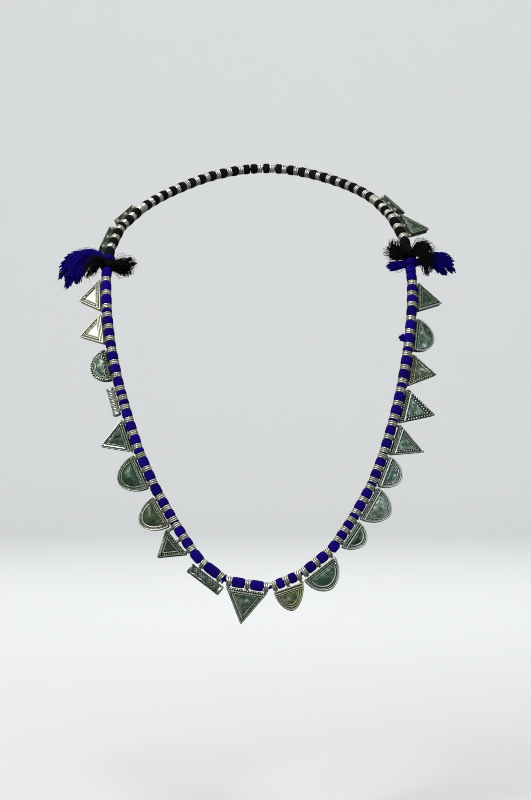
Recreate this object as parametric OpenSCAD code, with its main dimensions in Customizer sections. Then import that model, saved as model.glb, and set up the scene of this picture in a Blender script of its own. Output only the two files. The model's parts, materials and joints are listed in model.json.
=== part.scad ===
// Amulet necklace: silver amulet cases and wound thread beads on one closed string, in its worn shape.
// Millimetres. The origin is at the nape, +X to the viewer's right, -Y to the front, +Z up.

/* [String] */
// Radius of the plied thread that carries everything
thread_r = 1.2; // [0.8:0.1:1.2]
// Outer radius of a wound thread bead
bead_r = 3.2; // [2.6:0.1:3.2]
// Clear space between a bead and the ring beside it
bead_gap = 0.15; // [0.12:0.01:0.25]
// Steps of ring and bead round the nape, between the two back amulets
nape_steps = 23; // [21:1:23]

/* [Rings] */
// Outer radius of a silver ring
ring_r = 3; // [2.7:0.1:3.1]
// Length of a ring along the string
ring_len = 2.9; // [2.4:0.1:3]
// Radius of the bore through rings and beads
bore_r = 1.7; // [1.6:0.05:1.8]

/* [Amulet cases] */
// Thickness of a case behind its rims
case_t = 2.8; // [2:0.1:3.2]
// Distance from the string's centre line to the top edge of a case
case_drop = 3.6; // [3.5:0.1:4.2]
// Height of the rim wires above the case's face
rim_h = 0.6; // [0.3:0.1:0.8]
// Width of the outer rim wire
rim_w = 1; // [0.6:0.1:1.2]
// Distance in from the case's edge where the trim's corners turn sharp
sharp_in = 2.2; // [1.8:0.1:2.6]
// Height of the band along the top edge
band_h = 3.4; // [3:0.1:4]
// Height of the dome in the middle of a half moon
dome_h = 1.4; // [0.8:0.1:1.8]

/* [Tassels] */
// Radius of a tassel's wrapped head
head_r = 4.4; // [4:0.1:5]
// Length of a tassel's head along the string
head_len = 4.4; // [4:0.1:4.6]
// Radius of a lock of threads where it leaves the head
lock_r = 2; // [1.4:0.1:2.2]

/* [Hidden] */
silver = [0.74, 0.72, 0.62];
blue = [0.13, 0.04, 0.6];
black = [0.05, 0.05, 0.06];
chamfer = 0.5;
foot_w = 2;
foot_sink = 0.7;
arc_points = 22;
corner = 0.7;

// Route of the string's centre line, from the nape down the left, across the front and up the right.
// Columns: x, y, z, face (turn of the amulets from the front), lift (tilt of the amulets upwards).
ROUTE = [
    [0, 3.5, 0, 0, 10],
    [-32, -4, -5, 0, 10],
    [-61, -24, -18, 0, 10],
    [-78, -42, -30, -18, 20],
    [-91, -59, -45, -8, 8],
    [-96, -76, -64, -25, 22],
    [-96, -92, -87, -40, 36],
    [-92, -106, -118, -30, 26],
    [-84, -117, -150, -24, 20],
    [-71.5, -127, -186, -18, 15],
    [-54, -135, -219, -12, 12],
    [-37, -141, -243, -8, 12],
    [-18, -144, -255, -4, 12],
    [2, -144, -257, 0, 12],
    [20, -143, -250, 4, 12],
    [38, -140, -236, 8, 12],
    [54, -134, -213, 12, 12],
    [66, -128, -190, 18, 15],
    [77, -119, -156, 22, 18],
    [84, -109, -124, 28, 22],
    [88, -95, -93, 36, 28],
    [88, -78, -65, 25, 22],
    [81, -56, -40, 5, 5],
    [63, -28, -19, 0, 10],
    [32, -4, -5, 0, 10]
];

// Length of string from the nape to the middle of the front, down the left
front_run = 386.5;
// Places of the two knots with tassels, along the string from the middle of the front
left_knot = -234.5;
right_knot = 251.5;

// The amulets in their order along the string, from the viewer's left to the right.
// Columns: name, kind, at (place of the middle along the string), span (first ring to last), rings,
// wide (along the top edge), tall (from top edge to tip), round (2 is an ellipse, less is more pointed),
// skew (shift of the tip along the string), bend (turn of the case against its rings, over the shoulder),
// aside (shift of the case along its rings), tilt (turn of the case in its own plane, positive lowers its
// right end), border (width of the trim round the sunk panel).
AMULETS = [
    ["back_triangle_left", "triangle", -279, 17, 3, 20, 14, 0, 0, 72, 0, 0, 3.3],
    ["back_half_moon_left", "half_moon", -256, 17, 3, 19, 13, 1.9, 0, 74, 0, 0, 3],
    ["triangle_1", "triangle", -211, 19.5, 3, 22.7, 15.9, 0, -1.6, 0, 0, 0, 3.6],
    ["triangle_2", "triangle", -187.8, 16, 3, 20.5, 16.4, 0, 0, 0, 0, 0, 3.2],
    ["half_moon_1", "half_moon", -164.3, 16.5, 3, 20, 11.9, 2, 0, 0, 0, 0, 4.2],
    ["tube_1", "tube", -141.5, 12, 3, 17.3, 4.9, 0, 0, 0, 0.2, 0, 0],
    ["triangle_3", "triangle", -118.8, 17, 3, 21.3, 18.2, 0, 0, 0, 0.1, 0, 3.2],
    ["half_moon_2", "half_moon", -95.5, 17.8, 3, 22, 15.2, 1.85, 0, 0, -0.1, 0, 3.6],
    ["half_moon_3", "half_moon", -69, 15.5, 3, 20.4, 14.7, 1.8, 0, 0, 0, 0, 3.2],
    ["triangle_4", "triangle", -49, 16.5, 3, 20, 14.8, 0, -0.5, 0, 0.1, -7.5, 3.3],
    ["tube_2", "tube", -23, 12.8, 2, 22.8, 6.2, 0, 0, 0, 0, 0, 0],
    ["centre_triangle", "triangle", 0, 22, 3, 24.4, 20.5, 0, -0.3, 0, 0, 0, 3.4],
    ["half_moon_4", "half_moon", 23.5, 15.4, 3, 18.1, 13.6, 1.75, -1.6, 0, -0.4, 4, 4],
    ["half_moon_5", "half_moon", 44.3, 18, 3, 23, 14.2, 1.85, -1.2, 0, -0.8, 1, 3.6],
    ["half_moon_6", "half_moon", 70, 14.4, 3, 18.2, 10.8, 1.75, 0.6, 0, -0.5, 0, 3.2],
    ["half_moon_7", "half_moon", 91.2, 17.1, 3, 21.8, 14.8, 1.8, 0.3, 0, 0, 0, 3.1],
    ["half_moon_8", "half_moon", 112.2, 15.6, 3, 19.2, 12.1, 1.8, -0.3, 0, -0.2, 0, 3.9],
    ["triangle_5", "triangle", 132.2, 16.9, 3, 19.8, 19.1, 0, -0.3, 0, -0.2, 2, 3.2],
    ["triangle_6", "triangle", 153.5, 17.1, 3, 22, 21, 0, 0.8, 0, -0.2, 0, 3.4],
    ["triangle_7", "triangle", 176.4, 17.4, 3, 20.6, 17.4, 0, 2.2, 0, -0.4, 0, 3.2],
    ["half_moon_9", "half_moon", 199.7, 18, 3, 21, 13, 1.9, 0, 0, -0.3, 0, 3],
    ["triangle_8", "triangle", 225.8, 15, 3, 20.2, 17.5, 0, 1, 0, -0.8, 0, 3.3],
    ["back_triangle_right", "triangle", 280.2, 19.3, 3, 20.5, 18, 0, 0, 35, 0, 0, 3.2],
    ["back_half_moon_right", "half_moon", 303, 15.5, 3, 18, 13, 1.9, 0, 72, 0, 0, 3]
];
first_front = 2;
last_front = 21;
centre = 11;
last = len(AMULETS) - 1;

// Locks of the tassels, each bent once. Columns: bow_right, bow_up, end_right, end_up (places of the bend and
// of the end from the head's middle), fore (how far the lock stands off from the chest).
LEFT_BLUE = [
    [-15, 3, -27, 1, 0],
    [-15, 3, -30, -5, 0],
    [-16, 4, -30, -12, 0],
    [-15, 3, -26, -18, 1],
    [-13, 2.5, -19, -15, 0]
];
LEFT_BLACK = [
    [-8, 1, -13, -7, 6],
    [-6, 3, -10, 3, 7],
    [8, 0, 15, -5, 3],
    [8, 0, 17, 3, 5]
];
RIGHT_BLUE = [
    [16, 4.5, 27, 1, 0],
    [17, 3.5, 27, -6, 0],
    [14, 0.5, 22, -7, 0],
    [-7, -1, -14, -2, 1]
];
RIGHT_BLACK = [
    [-7, 2, -14, 5, 6],
    [-6, 3, -10, 10, 8],
    [9, 5.5, 11, -12, 9],
    [7, 5, 13, 6, 8]
];

function unit(v) = v / norm(v);
function turn_between(a, b) = acos(min(1, a * b));
function place(v) = [v[0], v[1], v[2]];
function square_to(v, t) = unit(v - t * (v * t));

// A smooth curve through the rows of ROUTE, sampled evenly between each pair of them.
route_steps = 8;
rows = len(ROUTE);
function row(i) = ROUTE[(i + rows) % rows];
function curve(a, b, c, d, u) =
    0.5 * (2 * b + (c - a) * u + (2 * a - 5 * b + 4 * c - d) * u * u + (3 * b - a - 3 * c + d) * u * u * u);
samples = [
    for (i = [0 : rows * route_steps])
        let (k = floor(i / route_steps))
            curve(row(k - 1), row(k), row(k + 1), row(k + 2), i / route_steps - k)
];
function runs(i = 0, so_far = 0) = i >= len(samples) ? [] :
    let (run = i == 0 ? 0 : so_far + norm(place(samples[i]) - place(samples[i - 1])))
        concat([run], runs(i + 1, run));
run_to = runs();
loop_length = run_to[len(run_to) - 1];
COLUMNS = [for (c = [0 : 4]) [for (i = [0 : len(samples) - 1]) [run_to[i], samples[i][c]]]];

// Place and facing of the string at a distance s from the middle of the front.
function wrap(s) = let (r = s + front_run) r < 0 ? r + loop_length : r > loop_length ? r - loop_length : r;
function column(s, c) = lookup(wrap(s), COLUMNS[c]);
function at(s) = [column(s, 0), column(s, 1), column(s, 2)];
function along(s) = unit(at(s + 1) - at(s - 1));
function facing(s) =
    let (face = column(s, 3), lift = column(s, 4))
        [sin(face) * cos(lift), -cos(face) * cos(lift), sin(lift)];

// The straight line that an amulet's rings lie on, and the way its case faces and hangs.
function half_span(a) = a[3] / 2;
function axis_of(a) = unit(at(a[2] + half_span(a)) - at(a[2] - half_span(a)));
function middle_of(a) = (at(a[2] + half_span(a)) + at(a[2] - half_span(a))) / 2;
function normal_of(i) =
    let (t = axis_of(AMULETS[i]))
        i == centre ? unit(cross(t, [0, 0, 1])) : square_to(facing(AMULETS[i][2]), t);
function ring_end(i, side) =
    middle_of(AMULETS[i]) + side * axis_of(AMULETS[i]) * (half_span(AMULETS[i]) + ring_len / 2);
function matrix(o, x, y, z) = [
    [x[0], y[0], z[0], o[0]],
    [x[1], y[1], z[1], o[1]],
    [x[2], y[2], z[2], o[2]]
];
function amulet_frame(i) =
    let (t = axis_of(AMULETS[i]), n = normal_of(i))
        matrix(middle_of(AMULETS[i]), t, -n, cross(n, t));

// Frame with its x axis from one point towards another, for what is threaded there.
loop_normal = unit([0, -257, 147]);
function thread_frame(o, t) =
    let (y = square_to(loop_normal, t))
        matrix(o, t, y, cross(t, y));

// Outline of a case with its top edge at y = 0, brought in by side_in at the sides and top_in at the top.
function left_edge(w, d, s, x_in, y) = -w / 2 + (s + w / 2) * y / d + x_in * norm([s + w / 2, d]) / d;
function right_edge(w, d, s, x_in, y) = w / 2 + (s - w / 2) * y / d - x_in * norm([s - w / 2, d]) / d;
function triangle(w, d, s, side_in, top_in) =
    let (
        reach = 1 - side_in * (norm([s + w / 2, d]) + norm([s - w / 2, d])) / (d * w),
        tip = reach * d,
        nip = corner * max(0, 1 - side_in / sharp_in)
    ) nip <= 0.1 ? [
        [left_edge(w, d, s, side_in, top_in), -top_in],
        [left_edge(w, d, s, side_in, tip), -tip],
        [right_edge(w, d, s, side_in, top_in), -top_in]
    ] : [
        [left_edge(w, d, s, side_in, top_in) + nip, -top_in],
        [left_edge(w, d, s, side_in, top_in + nip), -top_in - nip],
        [left_edge(w, d, s, side_in, tip - nip), -tip + nip],
        [right_edge(w, d, s, side_in, tip - nip), -tip + nip],
        [right_edge(w, d, s, side_in, top_in + nip), -top_in - nip],
        [right_edge(w, d, s, side_in, top_in) - nip, -top_in]
    ];
function half_moon(w, d, s, p, side_in, top_in) =
    let (
        deep = d - side_in,
        half = (w / 2 - side_in) * pow(1 - pow(top_in / deep, p), 1 / p)
    ) [
        for (k = [0 : arc_points])
            let (
                turn = 180 * k / arc_points,
                x = half * sign(cos(turn)) * pow(abs(cos(turn)), 2 / p),
                y = top_in + (deep - top_in) * pow(sin(turn), 2 / p)
            )
                [x + s * y / d, -y]
    ];
function case_outline(a, side_in = 0, top_in = 0) =
    a[1] == "triangle" ? triangle(a[5], a[6], a[8], side_in, top_in) :
    half_moon(a[5], a[6], a[8], a[7], side_in, top_in);

// A plate of an outline that reaches from depth y_front to y_back.
module plate(points, y_front, y_back) {
    translate([0, y_back, 0]) rotate([90, 0, 0]) linear_extrude(y_back - y_front) polygon(points);
}

module ring() {
    rotate([0, 90, 0]) rotate_extrude($fn = 48) polygon([
        [bore_r, -ring_len / 2],
        [ring_r - 0.15, -ring_len / 2],
        [ring_r, -ring_len / 2 + 0.3],
        [ring_r, -0.5],
        [ring_r - 0.3, 0],
        [ring_r, 0.5],
        [ring_r, ring_len / 2 - 0.3],
        [ring_r - 0.15, ring_len / 2],
        [bore_r, ring_len / 2]
    ]);
}

module bead(length) {
    cut = min(chamfer, length / 3);
    rotate([0, 90, 0]) rotate_extrude($fn = 48) polygon([
        [bore_r, -length / 2],
        [bead_r - cut, -length / 2],
        [bead_r, -length / 2 + cut],
        [bead_r, length / 2 - cut],
        [bead_r - cut, length / 2],
        [bore_r, length / 2]
    ]);
}

// A closed case with an outer rim, a groove, an inner rim and a sunk panel, domed on a half moon.
module flat_case(a) {
    back = case_t / 2;
    face = -case_t / 2;
    front = face - rim_h;
    over = front - 1;
    border = a[12];
    panel = case_outline(a, border, band_h);
    difference() {
        plate(case_outline(a), front, back);
        difference() {
            plate(case_outline(a, rim_w, rim_w), over, face);
            plate(case_outline(a, border - rim_w * 0.8, band_h - rim_w * 0.8), over - 1, back);
        }
        plate(panel, over, face);
    }
    if (a[1] == "half_moon") {
        dome_w = a[5] / 2 - border;
        dome_r = (dome_w * dome_w + dome_h * dome_h) / (2 * dome_h);
        intersection() {
            plate(panel, over - dome_h, 0);
            translate([a[8] / 2, face + dome_r - dome_h, -(a[6] + band_h - border) / 2])
                sphere(r = dome_r, $fn = 64);
        }
    }
}

// A closed tube with a collar at each end.
module tube_case(a) {
    r = a[6] / 2;
    collar = 1.2;
    translate([-a[5] / 2, 0, -r]) rotate([0, 90, 0]) {
        cylinder(r = r - 0.3, h = a[5], $fn = 48);
        cylinder(r = r, h = collar, $fn = 48);
        translate([0, 0, a[5] - collar]) cylinder(r = r, h = collar, $fn = 48);
    }
}

// How far the middle of a case's top edge hangs under the string: its upper end clears the beads.
function drop_of(a) = case_drop + case_t / 2 * sin(a[9]) + abs(sin(a[11])) * a[5] / 2;

// One amulet: its rings in a row on the string, a soldered foot under each, and its case.
module amulet(i) {
    a = AMULETS[i];
    pitch = a[3] / (a[4] - 1);
    drop = drop_of(a);
    foot_top = ring_r - foot_sink;
    foot_long = ring_len * 0.7;
    color(silver) multmatrix(amulet_frame(i)) {
        for (k = [0 : a[4] - 1]) {
            x = k * pitch - half_span(a);
            foot_end = drop + (x - a[10]) * tan(a[11]) + foot_sink;
            translate([x, 0, 0]) ring();
            translate([x - foot_long / 2, -foot_w / 2, -foot_end])
                cube([foot_long, foot_w, foot_end - foot_top]);
        }
        translate([a[10], 0, -drop]) rotate([a[9], a[11], 0]) {
            if (a[1] == "tube") tube_case(a);
            else flat_case(a);
        }
    }
}

// Thread beads between the rings of one amulet.
module beads_within(i) {
    a = AMULETS[i];
    pitch = a[3] / (a[4] - 1);
    multmatrix(amulet_frame(i)) for (k = [1 : a[4] - 1])
        translate([(k - 0.5) * pitch - half_span(a), 0, 0]) bead(pitch - ring_len - 2 * bead_gap);
}

// Thread beads on the straight stretch between two points, clear of neighbours that lie at an angle to it.
least_bead = 0.6;
longest_bead = 8.5;
function lean_gap(t, u) = bead_gap + (bead_r - chamfer) * tan(turn_between(t, u));
module beads_between(from, to, from_axis, to_axis) {
    u = unit(to - from);
    start = lean_gap(from_axis, u);
    room = norm(to - from) - start - lean_gap(to_axis, u);
    count = ceil(room / longest_bead);
    length = (room - (count - 1) * bead_gap) / count;
    if (length > least_bead) for (k = [0 : count - 1])
        multmatrix(thread_frame(from + u * (start + k * (length + bead_gap) + length / 2), u)) bead(length);
}
module beads_after(i) {
    beads_between(ring_end(i, 1), ring_end(i + 1, -1), axis_of(AMULETS[i]), axis_of(AMULETS[i + 1]));
}

// The string leaves each knot straight, through a tassel's head, towards the first ring on either side.
function way_out(knot, i, side) = unit(ring_end(i, side) - at(knot));
function head_gap(knot, u) = bead_gap + head_r * tan(turn_between(u, along(knot) * sign(along(knot) * u)));
function head_end(knot, u) = at(knot) + u * (head_gap(knot, u) + head_len);
module beads_beyond_head(knot, i, side) {
    u = way_out(knot, i, side);
    beads_between(head_end(knot, u), ring_end(i, side), u, axis_of(AMULETS[i]) * -side);
}

// Points of the string round the nape, from the last amulet to the first.
nape_from = AMULETS[last][2] + half_span(AMULETS[last]) + ring_len / 2;
nape_to = AMULETS[0][2] - half_span(AMULETS[0]) - ring_len / 2 + loop_length;
nape_step = (nape_to - nape_from) / nape_steps;
function nape_point(k) =
    k == 0 ? ring_end(last, 1) :
    k == nape_steps ? ring_end(0, -1) :
    at(nape_from + k * nape_step);
function nape_axis(k) =
    k < 0 ? axis_of(AMULETS[last]) :
    k >= nape_steps ? axis_of(AMULETS[0]) :
    unit(nape_point(k + 1) - nape_point(k));
function nape_share(k) = k == 0 || k == nape_steps ? 1 : 0.5;
function nape_gap(k) = bead_gap + ring_r * tan(turn_between(nape_axis(k - 1), nape_axis(k)) * nape_share(k));
function ring_first(k) = k <= nape_steps / 2;
function nape_room(k) = norm(nape_point(k + 1) - nape_point(k)) - nape_gap(k) - nape_gap(k + 1);
module nape_ring(k) {
    offset = ring_first(k) ? nape_gap(k) + ring_len / 2 : nape_gap(k) + nape_room(k) - ring_len / 2;
    multmatrix(thread_frame(nape_point(k) + nape_axis(k) * offset, nape_axis(k))) ring();
}
module nape_bead(k) {
    length = nape_room(k) - ring_len - bead_gap;
    offset = ring_first(k) ? nape_gap(k) + nape_room(k) - length / 2 : nape_gap(k) + length / 2;
    multmatrix(thread_frame(nape_point(k) + nape_axis(k) * offset, nape_axis(k))) bead(length);
}

// A round thread swept with eight sides along its points.
sides = 8;
function inner_axis(points, k) = unit(unit(points[k + 1] - points[k]) + unit(points[k] - points[k - 1]));
module thread(points, first_axis, last_axis) {
    n = len(points);
    rings = [
        for (k = [0 : n - 1])
            let (
                t = k == 0 ? first_axis : k == n - 1 ? last_axis : inner_axis(points, k),
                y = square_to(loop_normal, t),
                z = cross(t, y)
            )
                for (j = [0 : sides - 1])
                    points[k] + thread_r * (y * cos(360 * j / sides) + z * sin(360 * j / sides))
    ];
    walls = [
        for (k = [0 : n - 2], j = [0 : sides - 1])
            let (a = k * sides + j, b = k * sides + (j + 1) % sides)
                each [[a, b + sides, b], [a, a + sides, b + sides]]
    ];
    caps = [[for (j = [0 : sides - 1]) j], [for (j = [sides - 1 : -1 : 0]) (n - 1) * sides + j]];
    polyhedron(points = rings, faces = concat(walls, caps), convexity = 10);
}

module front_thread() {
    color(blue) thread(
        concat(
            [at(left_knot)],
            [for (i = [first_front : last_front], side = [-1, 1]) ring_end(i, side)],
            [at(right_knot)]
        ), along(left_knot), along(right_knot));
}

module back_thread() {
    color(black) thread(
        concat(
            [at(right_knot)],
            [for (i = [last_front + 1 : last], side = [-1, 1]) ring_end(i, side)],
            [for (k = [1 : nape_steps - 1]) nape_point(k)],
            [for (i = [0 : first_front - 1], side = [-1, 1]) ring_end(i, side)],
            [at(left_knot)]
        ), along(right_knot), along(left_knot));
}

module blue_thread_beads() {
    color(blue) {
        for (i = [first_front : last_front]) beads_within(i);
        for (i = [first_front : last_front - 1]) beads_after(i);
        beads_beyond_head(left_knot, first_front, -1);
        beads_beyond_head(right_knot, last_front, 1);
    }
}

module black_thread_beads() {
    color(black) {
        for (i = [0, 1, last - 1, last]) beads_within(i);
        for (i = [0, last - 1]) beads_after(i);
        beads_beyond_head(left_knot, first_front - 1, 1);
        beads_beyond_head(right_knot, last_front + 1, -1);
        for (k = [0 : nape_steps - 1]) nape_bead(k);
    }
}

module nape_rings() {
    color(silver) for (k = [0 : nape_steps - 1]) nape_ring(k);
}

// A tassel: a wrapped head on the string just past a knot, and tapered locks of threads that lie out from it.
// i and side name the ring that the string goes to from there.
chest_out = 0.25;
chest_down = 0.55;
lock_taper = [1, 1.3, 0.8];
function on_chest(right, up, fore) = [right, chest_out * abs(right) + chest_down * up - fore, up];
module tassel(knot, i, side, locks) {
    t = way_out(knot, i, side);
    middle = at(knot) + t * (head_gap(knot, t) + head_len / 2);
    difference() {
        union() {
            multmatrix(thread_frame(middle, t)) rotate([0, 90, 0])
                cylinder(r = head_r, h = head_len, center = true, $fn = 16);
            for (lock = locks) {
                bow = on_chest(lock[0], lock[1], lock[4]);
                path = [square_to(bow, t) * (head_r - lock_r), bow, on_chest(lock[2], lock[3], lock[4])];
                for (k = [0, 1]) hull() {
                    translate(middle + path[k]) sphere(r = lock_r * lock_taper[k], $fn = 10);
                    translate(middle + path[k + 1]) sphere(r = lock_r * lock_taper[k + 1], $fn = 10);
                }
            }
        }
        multmatrix(thread_frame(middle, t)) rotate([0, 90, 0])
            cylinder(r = bore_r, h = 3 * head_r, center = true, $fn = 16);
    }
}
module left_blue_tassel() {
    color(blue) tassel(left_knot, first_front - 1, 1, LEFT_BLUE);
}
module left_black_tassel() {
    color(black) tassel(left_knot, first_front, -1, LEFT_BLACK);
}
module right_blue_tassel() {
    color(blue) tassel(right_knot, last_front, 1, RIGHT_BLUE);
}
module right_black_tassel() {
    color(black) tassel(right_knot, last_front + 1, -1, RIGHT_BLACK);
}

for (i = [0 : last]) amulet(i);
front_thread();
back_thread();
blue_thread_beads();
black_thread_beads();
nape_rings();
left_blue_tassel();
left_black_tassel();
right_blue_tassel();
right_black_tassel();
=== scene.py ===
# %% [markdown]
# # A silver amulet necklace
#
# Twenty-four flat silver cases hang by rings from one closed string, between beads of wound thread, and two
# knots carry loose tassels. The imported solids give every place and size. This script gives each piece its
# worked surface: soldered wires, granules, hammered sheet, wound thread and frayed ends.
#
# The model comes in first and stays as it is. Each new piece rides on one of its bodies and stands for a
# node.

import json
import math
from collections import namedtuple

import bmesh
import bpy
import numpy as np
from mathutils import Matrix, Vector, noise

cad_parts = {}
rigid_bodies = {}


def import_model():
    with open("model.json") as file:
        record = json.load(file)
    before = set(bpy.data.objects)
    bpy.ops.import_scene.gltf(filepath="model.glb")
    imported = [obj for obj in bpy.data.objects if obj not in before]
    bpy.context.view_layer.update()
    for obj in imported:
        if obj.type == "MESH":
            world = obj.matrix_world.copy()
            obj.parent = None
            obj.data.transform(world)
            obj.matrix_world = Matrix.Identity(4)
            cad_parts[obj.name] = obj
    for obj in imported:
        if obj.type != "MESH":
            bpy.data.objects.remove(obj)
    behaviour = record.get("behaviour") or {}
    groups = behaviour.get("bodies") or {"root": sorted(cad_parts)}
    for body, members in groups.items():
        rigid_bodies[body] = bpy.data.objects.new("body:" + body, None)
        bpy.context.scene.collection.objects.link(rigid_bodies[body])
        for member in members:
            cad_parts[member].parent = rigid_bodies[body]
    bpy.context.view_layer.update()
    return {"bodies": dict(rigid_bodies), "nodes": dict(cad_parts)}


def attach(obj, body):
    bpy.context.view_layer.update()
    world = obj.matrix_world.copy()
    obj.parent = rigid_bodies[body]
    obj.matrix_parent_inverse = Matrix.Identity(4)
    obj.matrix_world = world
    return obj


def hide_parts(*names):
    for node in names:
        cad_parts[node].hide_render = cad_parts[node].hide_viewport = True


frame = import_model()

# %% [markdown]
# ## The line of the string
#
# The string lies on the chest in a long loop, up over the shoulders and round the nape. Its centre line is
# a smooth curve through a few chosen places, the same ones that the solids follow. Millimetres are easier
# to read for jewellery, so the tables stay in millimetres and a single factor turns them into metres.

# %% Places of the string
MM = 0.001

# x, y, z, face (turn of the amulets from the front, degrees), lift (tilt of the amulets upwards, degrees)
ROUTE = np.array([
    [0, 3.5, 0, 0, 10],
    [-32, -4, -5, 0, 10],
    [-61, -24, -18, 0, 10],
    [-78, -42, -30, -18, 20],
    [-91, -59, -45, -8, 8],
    [-96, -76, -64, -25, 22],
    [-96, -92, -87, -40, 36],
    [-92, -106, -118, -30, 26],
    [-84, -117, -150, -24, 20],
    [-71.5, -127, -186, -18, 15],
    [-54, -135, -219, -12, 12],
    [-37, -141, -243, -8, 12],
    [-18, -144, -255, -4, 12],
    [2, -144, -257, 0, 12],
    [20, -143, -250, 4, 12],
    [38, -140, -236, 8, 12],
    [54, -134, -213, 12, 12],
    [66, -128, -190, 18, 15],
    [77, -119, -156, 22, 18],
    [84, -109, -124, 28, 22],
    [88, -95, -93, 36, 28],
    [88, -78, -65, 25, 22],
    [81, -56, -40, 5, 5],
    [63, -28, -19, 0, 10],
    [32, -4, -5, 0, 10],
], float)
FRONT_RUN = 386.5  # length of string from the nape to the middle of the front
STEPS = 8  # samples from one place to the next


def between(a, b, c, d, u):
    """A point between b and c on the smooth curve through four places."""
    return 0.5 * (2 * b + (c - a) * u + (2 * a - 5 * b + 4 * c - d) * u * u + (3 * b - a - 3 * c + d) * u**3)


count = len(ROUTE)
samples = np.array([
    between(*(ROUTE[(i // STEPS + k) % count] for k in (-1, 0, 1, 2)), i / STEPS % 1)
    for i in range(count * STEPS + 1)
])
run_to = np.concatenate([[0], np.cumsum(np.linalg.norm(np.diff(samples[:, :3], axis=0), axis=1))])
LOOP = run_to[-1]


def on_string(s):
    """The five columns of the route at a distance s from the middle of the front."""
    return np.array([np.interp((s + FRONT_RUN) % LOOP, run_to, samples[:, c]) for c in range(5)])


def at(s):
    return on_string(s)[:3]


def unit(v):
    return np.asarray(v) / np.linalg.norm(v)


def along(s):
    return unit(at(s + 1) - at(s - 1))


print(f"the string is {LOOP:.1f} mm round")

# %% [markdown]
# ## Where each amulet hangs
#
# An amulet has two or three rings in a row, and its case hangs from them. Its frame is the straight line
# through its rings, the way that the chest turns it, and what is left for up. The largest triangle hangs
# free at the lowest point.
#
# In the table, `at` is the place on the string and `span` the length from the first ring to the last.
# `border` is the width of the trim, `round` the power of a half moon's curve, and `skew` how far its tip
# sits aside. Old cases hang a little askew: `aside` moves one along its rings, `tilt` turns it in its own
# plane, and `bend` folds it back over the shoulder.

# %% Amulets in their order along the string
Amulet = namedtuple(
    "Amulet", "name at span wide tall border round skew aside tilt bend rings", defaults=[0] * 6 + [3])
AMULETS = [
    Amulet("back_triangle_left", -279, 17, 20, 14, 3.3, bend=72),
    Amulet("back_half_moon_left", -256, 17, 19, 13, 3, 1.9, bend=74),
    Amulet("triangle_1", -211, 19.5, 22.7, 15.9, 3.6, skew=-1.6),
    Amulet("triangle_2", -187.8, 16, 20.5, 16.4, 3.2),
    Amulet("half_moon_1", -164.3, 16.5, 20, 11.9, 4.2, 2),
    Amulet("tube_1", -141.5, 12, 17.3, 4.9, aside=0.2),
    Amulet("triangle_3", -118.8, 17, 21.3, 18.2, 3.2, aside=0.1),
    Amulet("half_moon_2", -95.5, 17.8, 22, 15.2, 3.6, 1.85, aside=-0.1),
    Amulet("half_moon_3", -69, 15.5, 20.4, 14.7, 3.2, 1.8),
    Amulet("triangle_4", -49, 16.5, 20, 14.8, 3.3, skew=-0.5, aside=0.1, tilt=-7.5),
    Amulet("tube_2", -23, 12.8, 22.8, 6.2, rings=2),
    Amulet("centre_triangle", 0, 22, 24.4, 20.5, 3.4, skew=-0.3),
    Amulet("half_moon_4", 23.5, 15.4, 18.1, 13.6, 4, 1.75, skew=-1.6, aside=-0.4, tilt=4),
    Amulet("half_moon_5", 44.3, 18, 23, 14.2, 3.6, 1.85, skew=-1.2, aside=-0.8, tilt=1),
    Amulet("half_moon_6", 70, 14.4, 18.2, 10.8, 3.2, 1.75, skew=0.6, aside=-0.5),
    Amulet("half_moon_7", 91.2, 17.1, 21.8, 14.8, 3.1, 1.8, skew=0.3),
    Amulet("half_moon_8", 112.2, 15.6, 19.2, 12.1, 3.9, 1.8, skew=-0.3, aside=-0.2),
    Amulet("triangle_5", 132.2, 16.9, 19.8, 19.1, 3.2, skew=-0.3, aside=-0.2, tilt=2),
    Amulet("triangle_6", 153.5, 17.1, 22, 21, 3.4, skew=0.8, aside=-0.2),
    Amulet("triangle_7", 176.4, 17.4, 20.6, 17.4, 3.2, skew=2.2, aside=-0.4),
    Amulet("half_moon_9", 199.7, 18, 21, 13, 3, 1.9, aside=-0.3),
    Amulet("triangle_8", 225.8, 15, 20.2, 17.5, 3.3, skew=1, aside=-0.8),
    Amulet("back_triangle_right", 280.2, 19.3, 20.5, 18, 3.2, bend=35),
    Amulet("back_half_moon_right", 303, 15.5, 18, 13, 3, 1.9, bend=72),
]
CENTRE = 11  # number of the largest triangle
FIRST_FRONT, LAST_FRONT = 2, 21  # numbers of the first and last amulets between the knots
RING_LEN = 2.9  # length of a ring along the string
CASE_T, CASE_DROP = 2.8, 3.6  # thickness of a case, and its top edge's distance under the string


def ring_row(a):
    """The middle of an amulet's row of rings, and its direction."""
    start, end = at(a.at - a.span / 2), at(a.at + a.span / 2)
    return (end + start) / 2, unit(end - start)


def ring_end(i, side):
    a = AMULETS[i]
    middle, axis = ring_row(a)
    return middle + side * axis * (a.span + RING_LEN) / 2


def ring_frame(a):
    """x along the rings, y to the back, z up, at the middle of the rings, in metres."""
    middle, x = ring_row(a)
    face, lift = np.radians(on_string(a.at)[3:])
    out = np.array([math.sin(face) * math.cos(lift), -math.cos(face) * math.cos(lift), math.sin(lift)])
    front = unit(np.cross(x, [0, 0, 1])) if a is AMULETS[CENTRE] else unit(out - x * (out @ x))
    axes = np.column_stack([x, -front, np.cross(front, x)])
    return Matrix.Translation(Vector(middle) * MM) @ Matrix(axes.tolist()).to_4x4()


def drop_of(a):
    """How far the middle of the case's top edge hangs under the string."""
    turned_down = CASE_T / 2 * math.sin(math.radians(a.bend))
    return CASE_DROP + turned_down + abs(math.sin(math.radians(a.tilt))) * a.wide / 2


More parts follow.
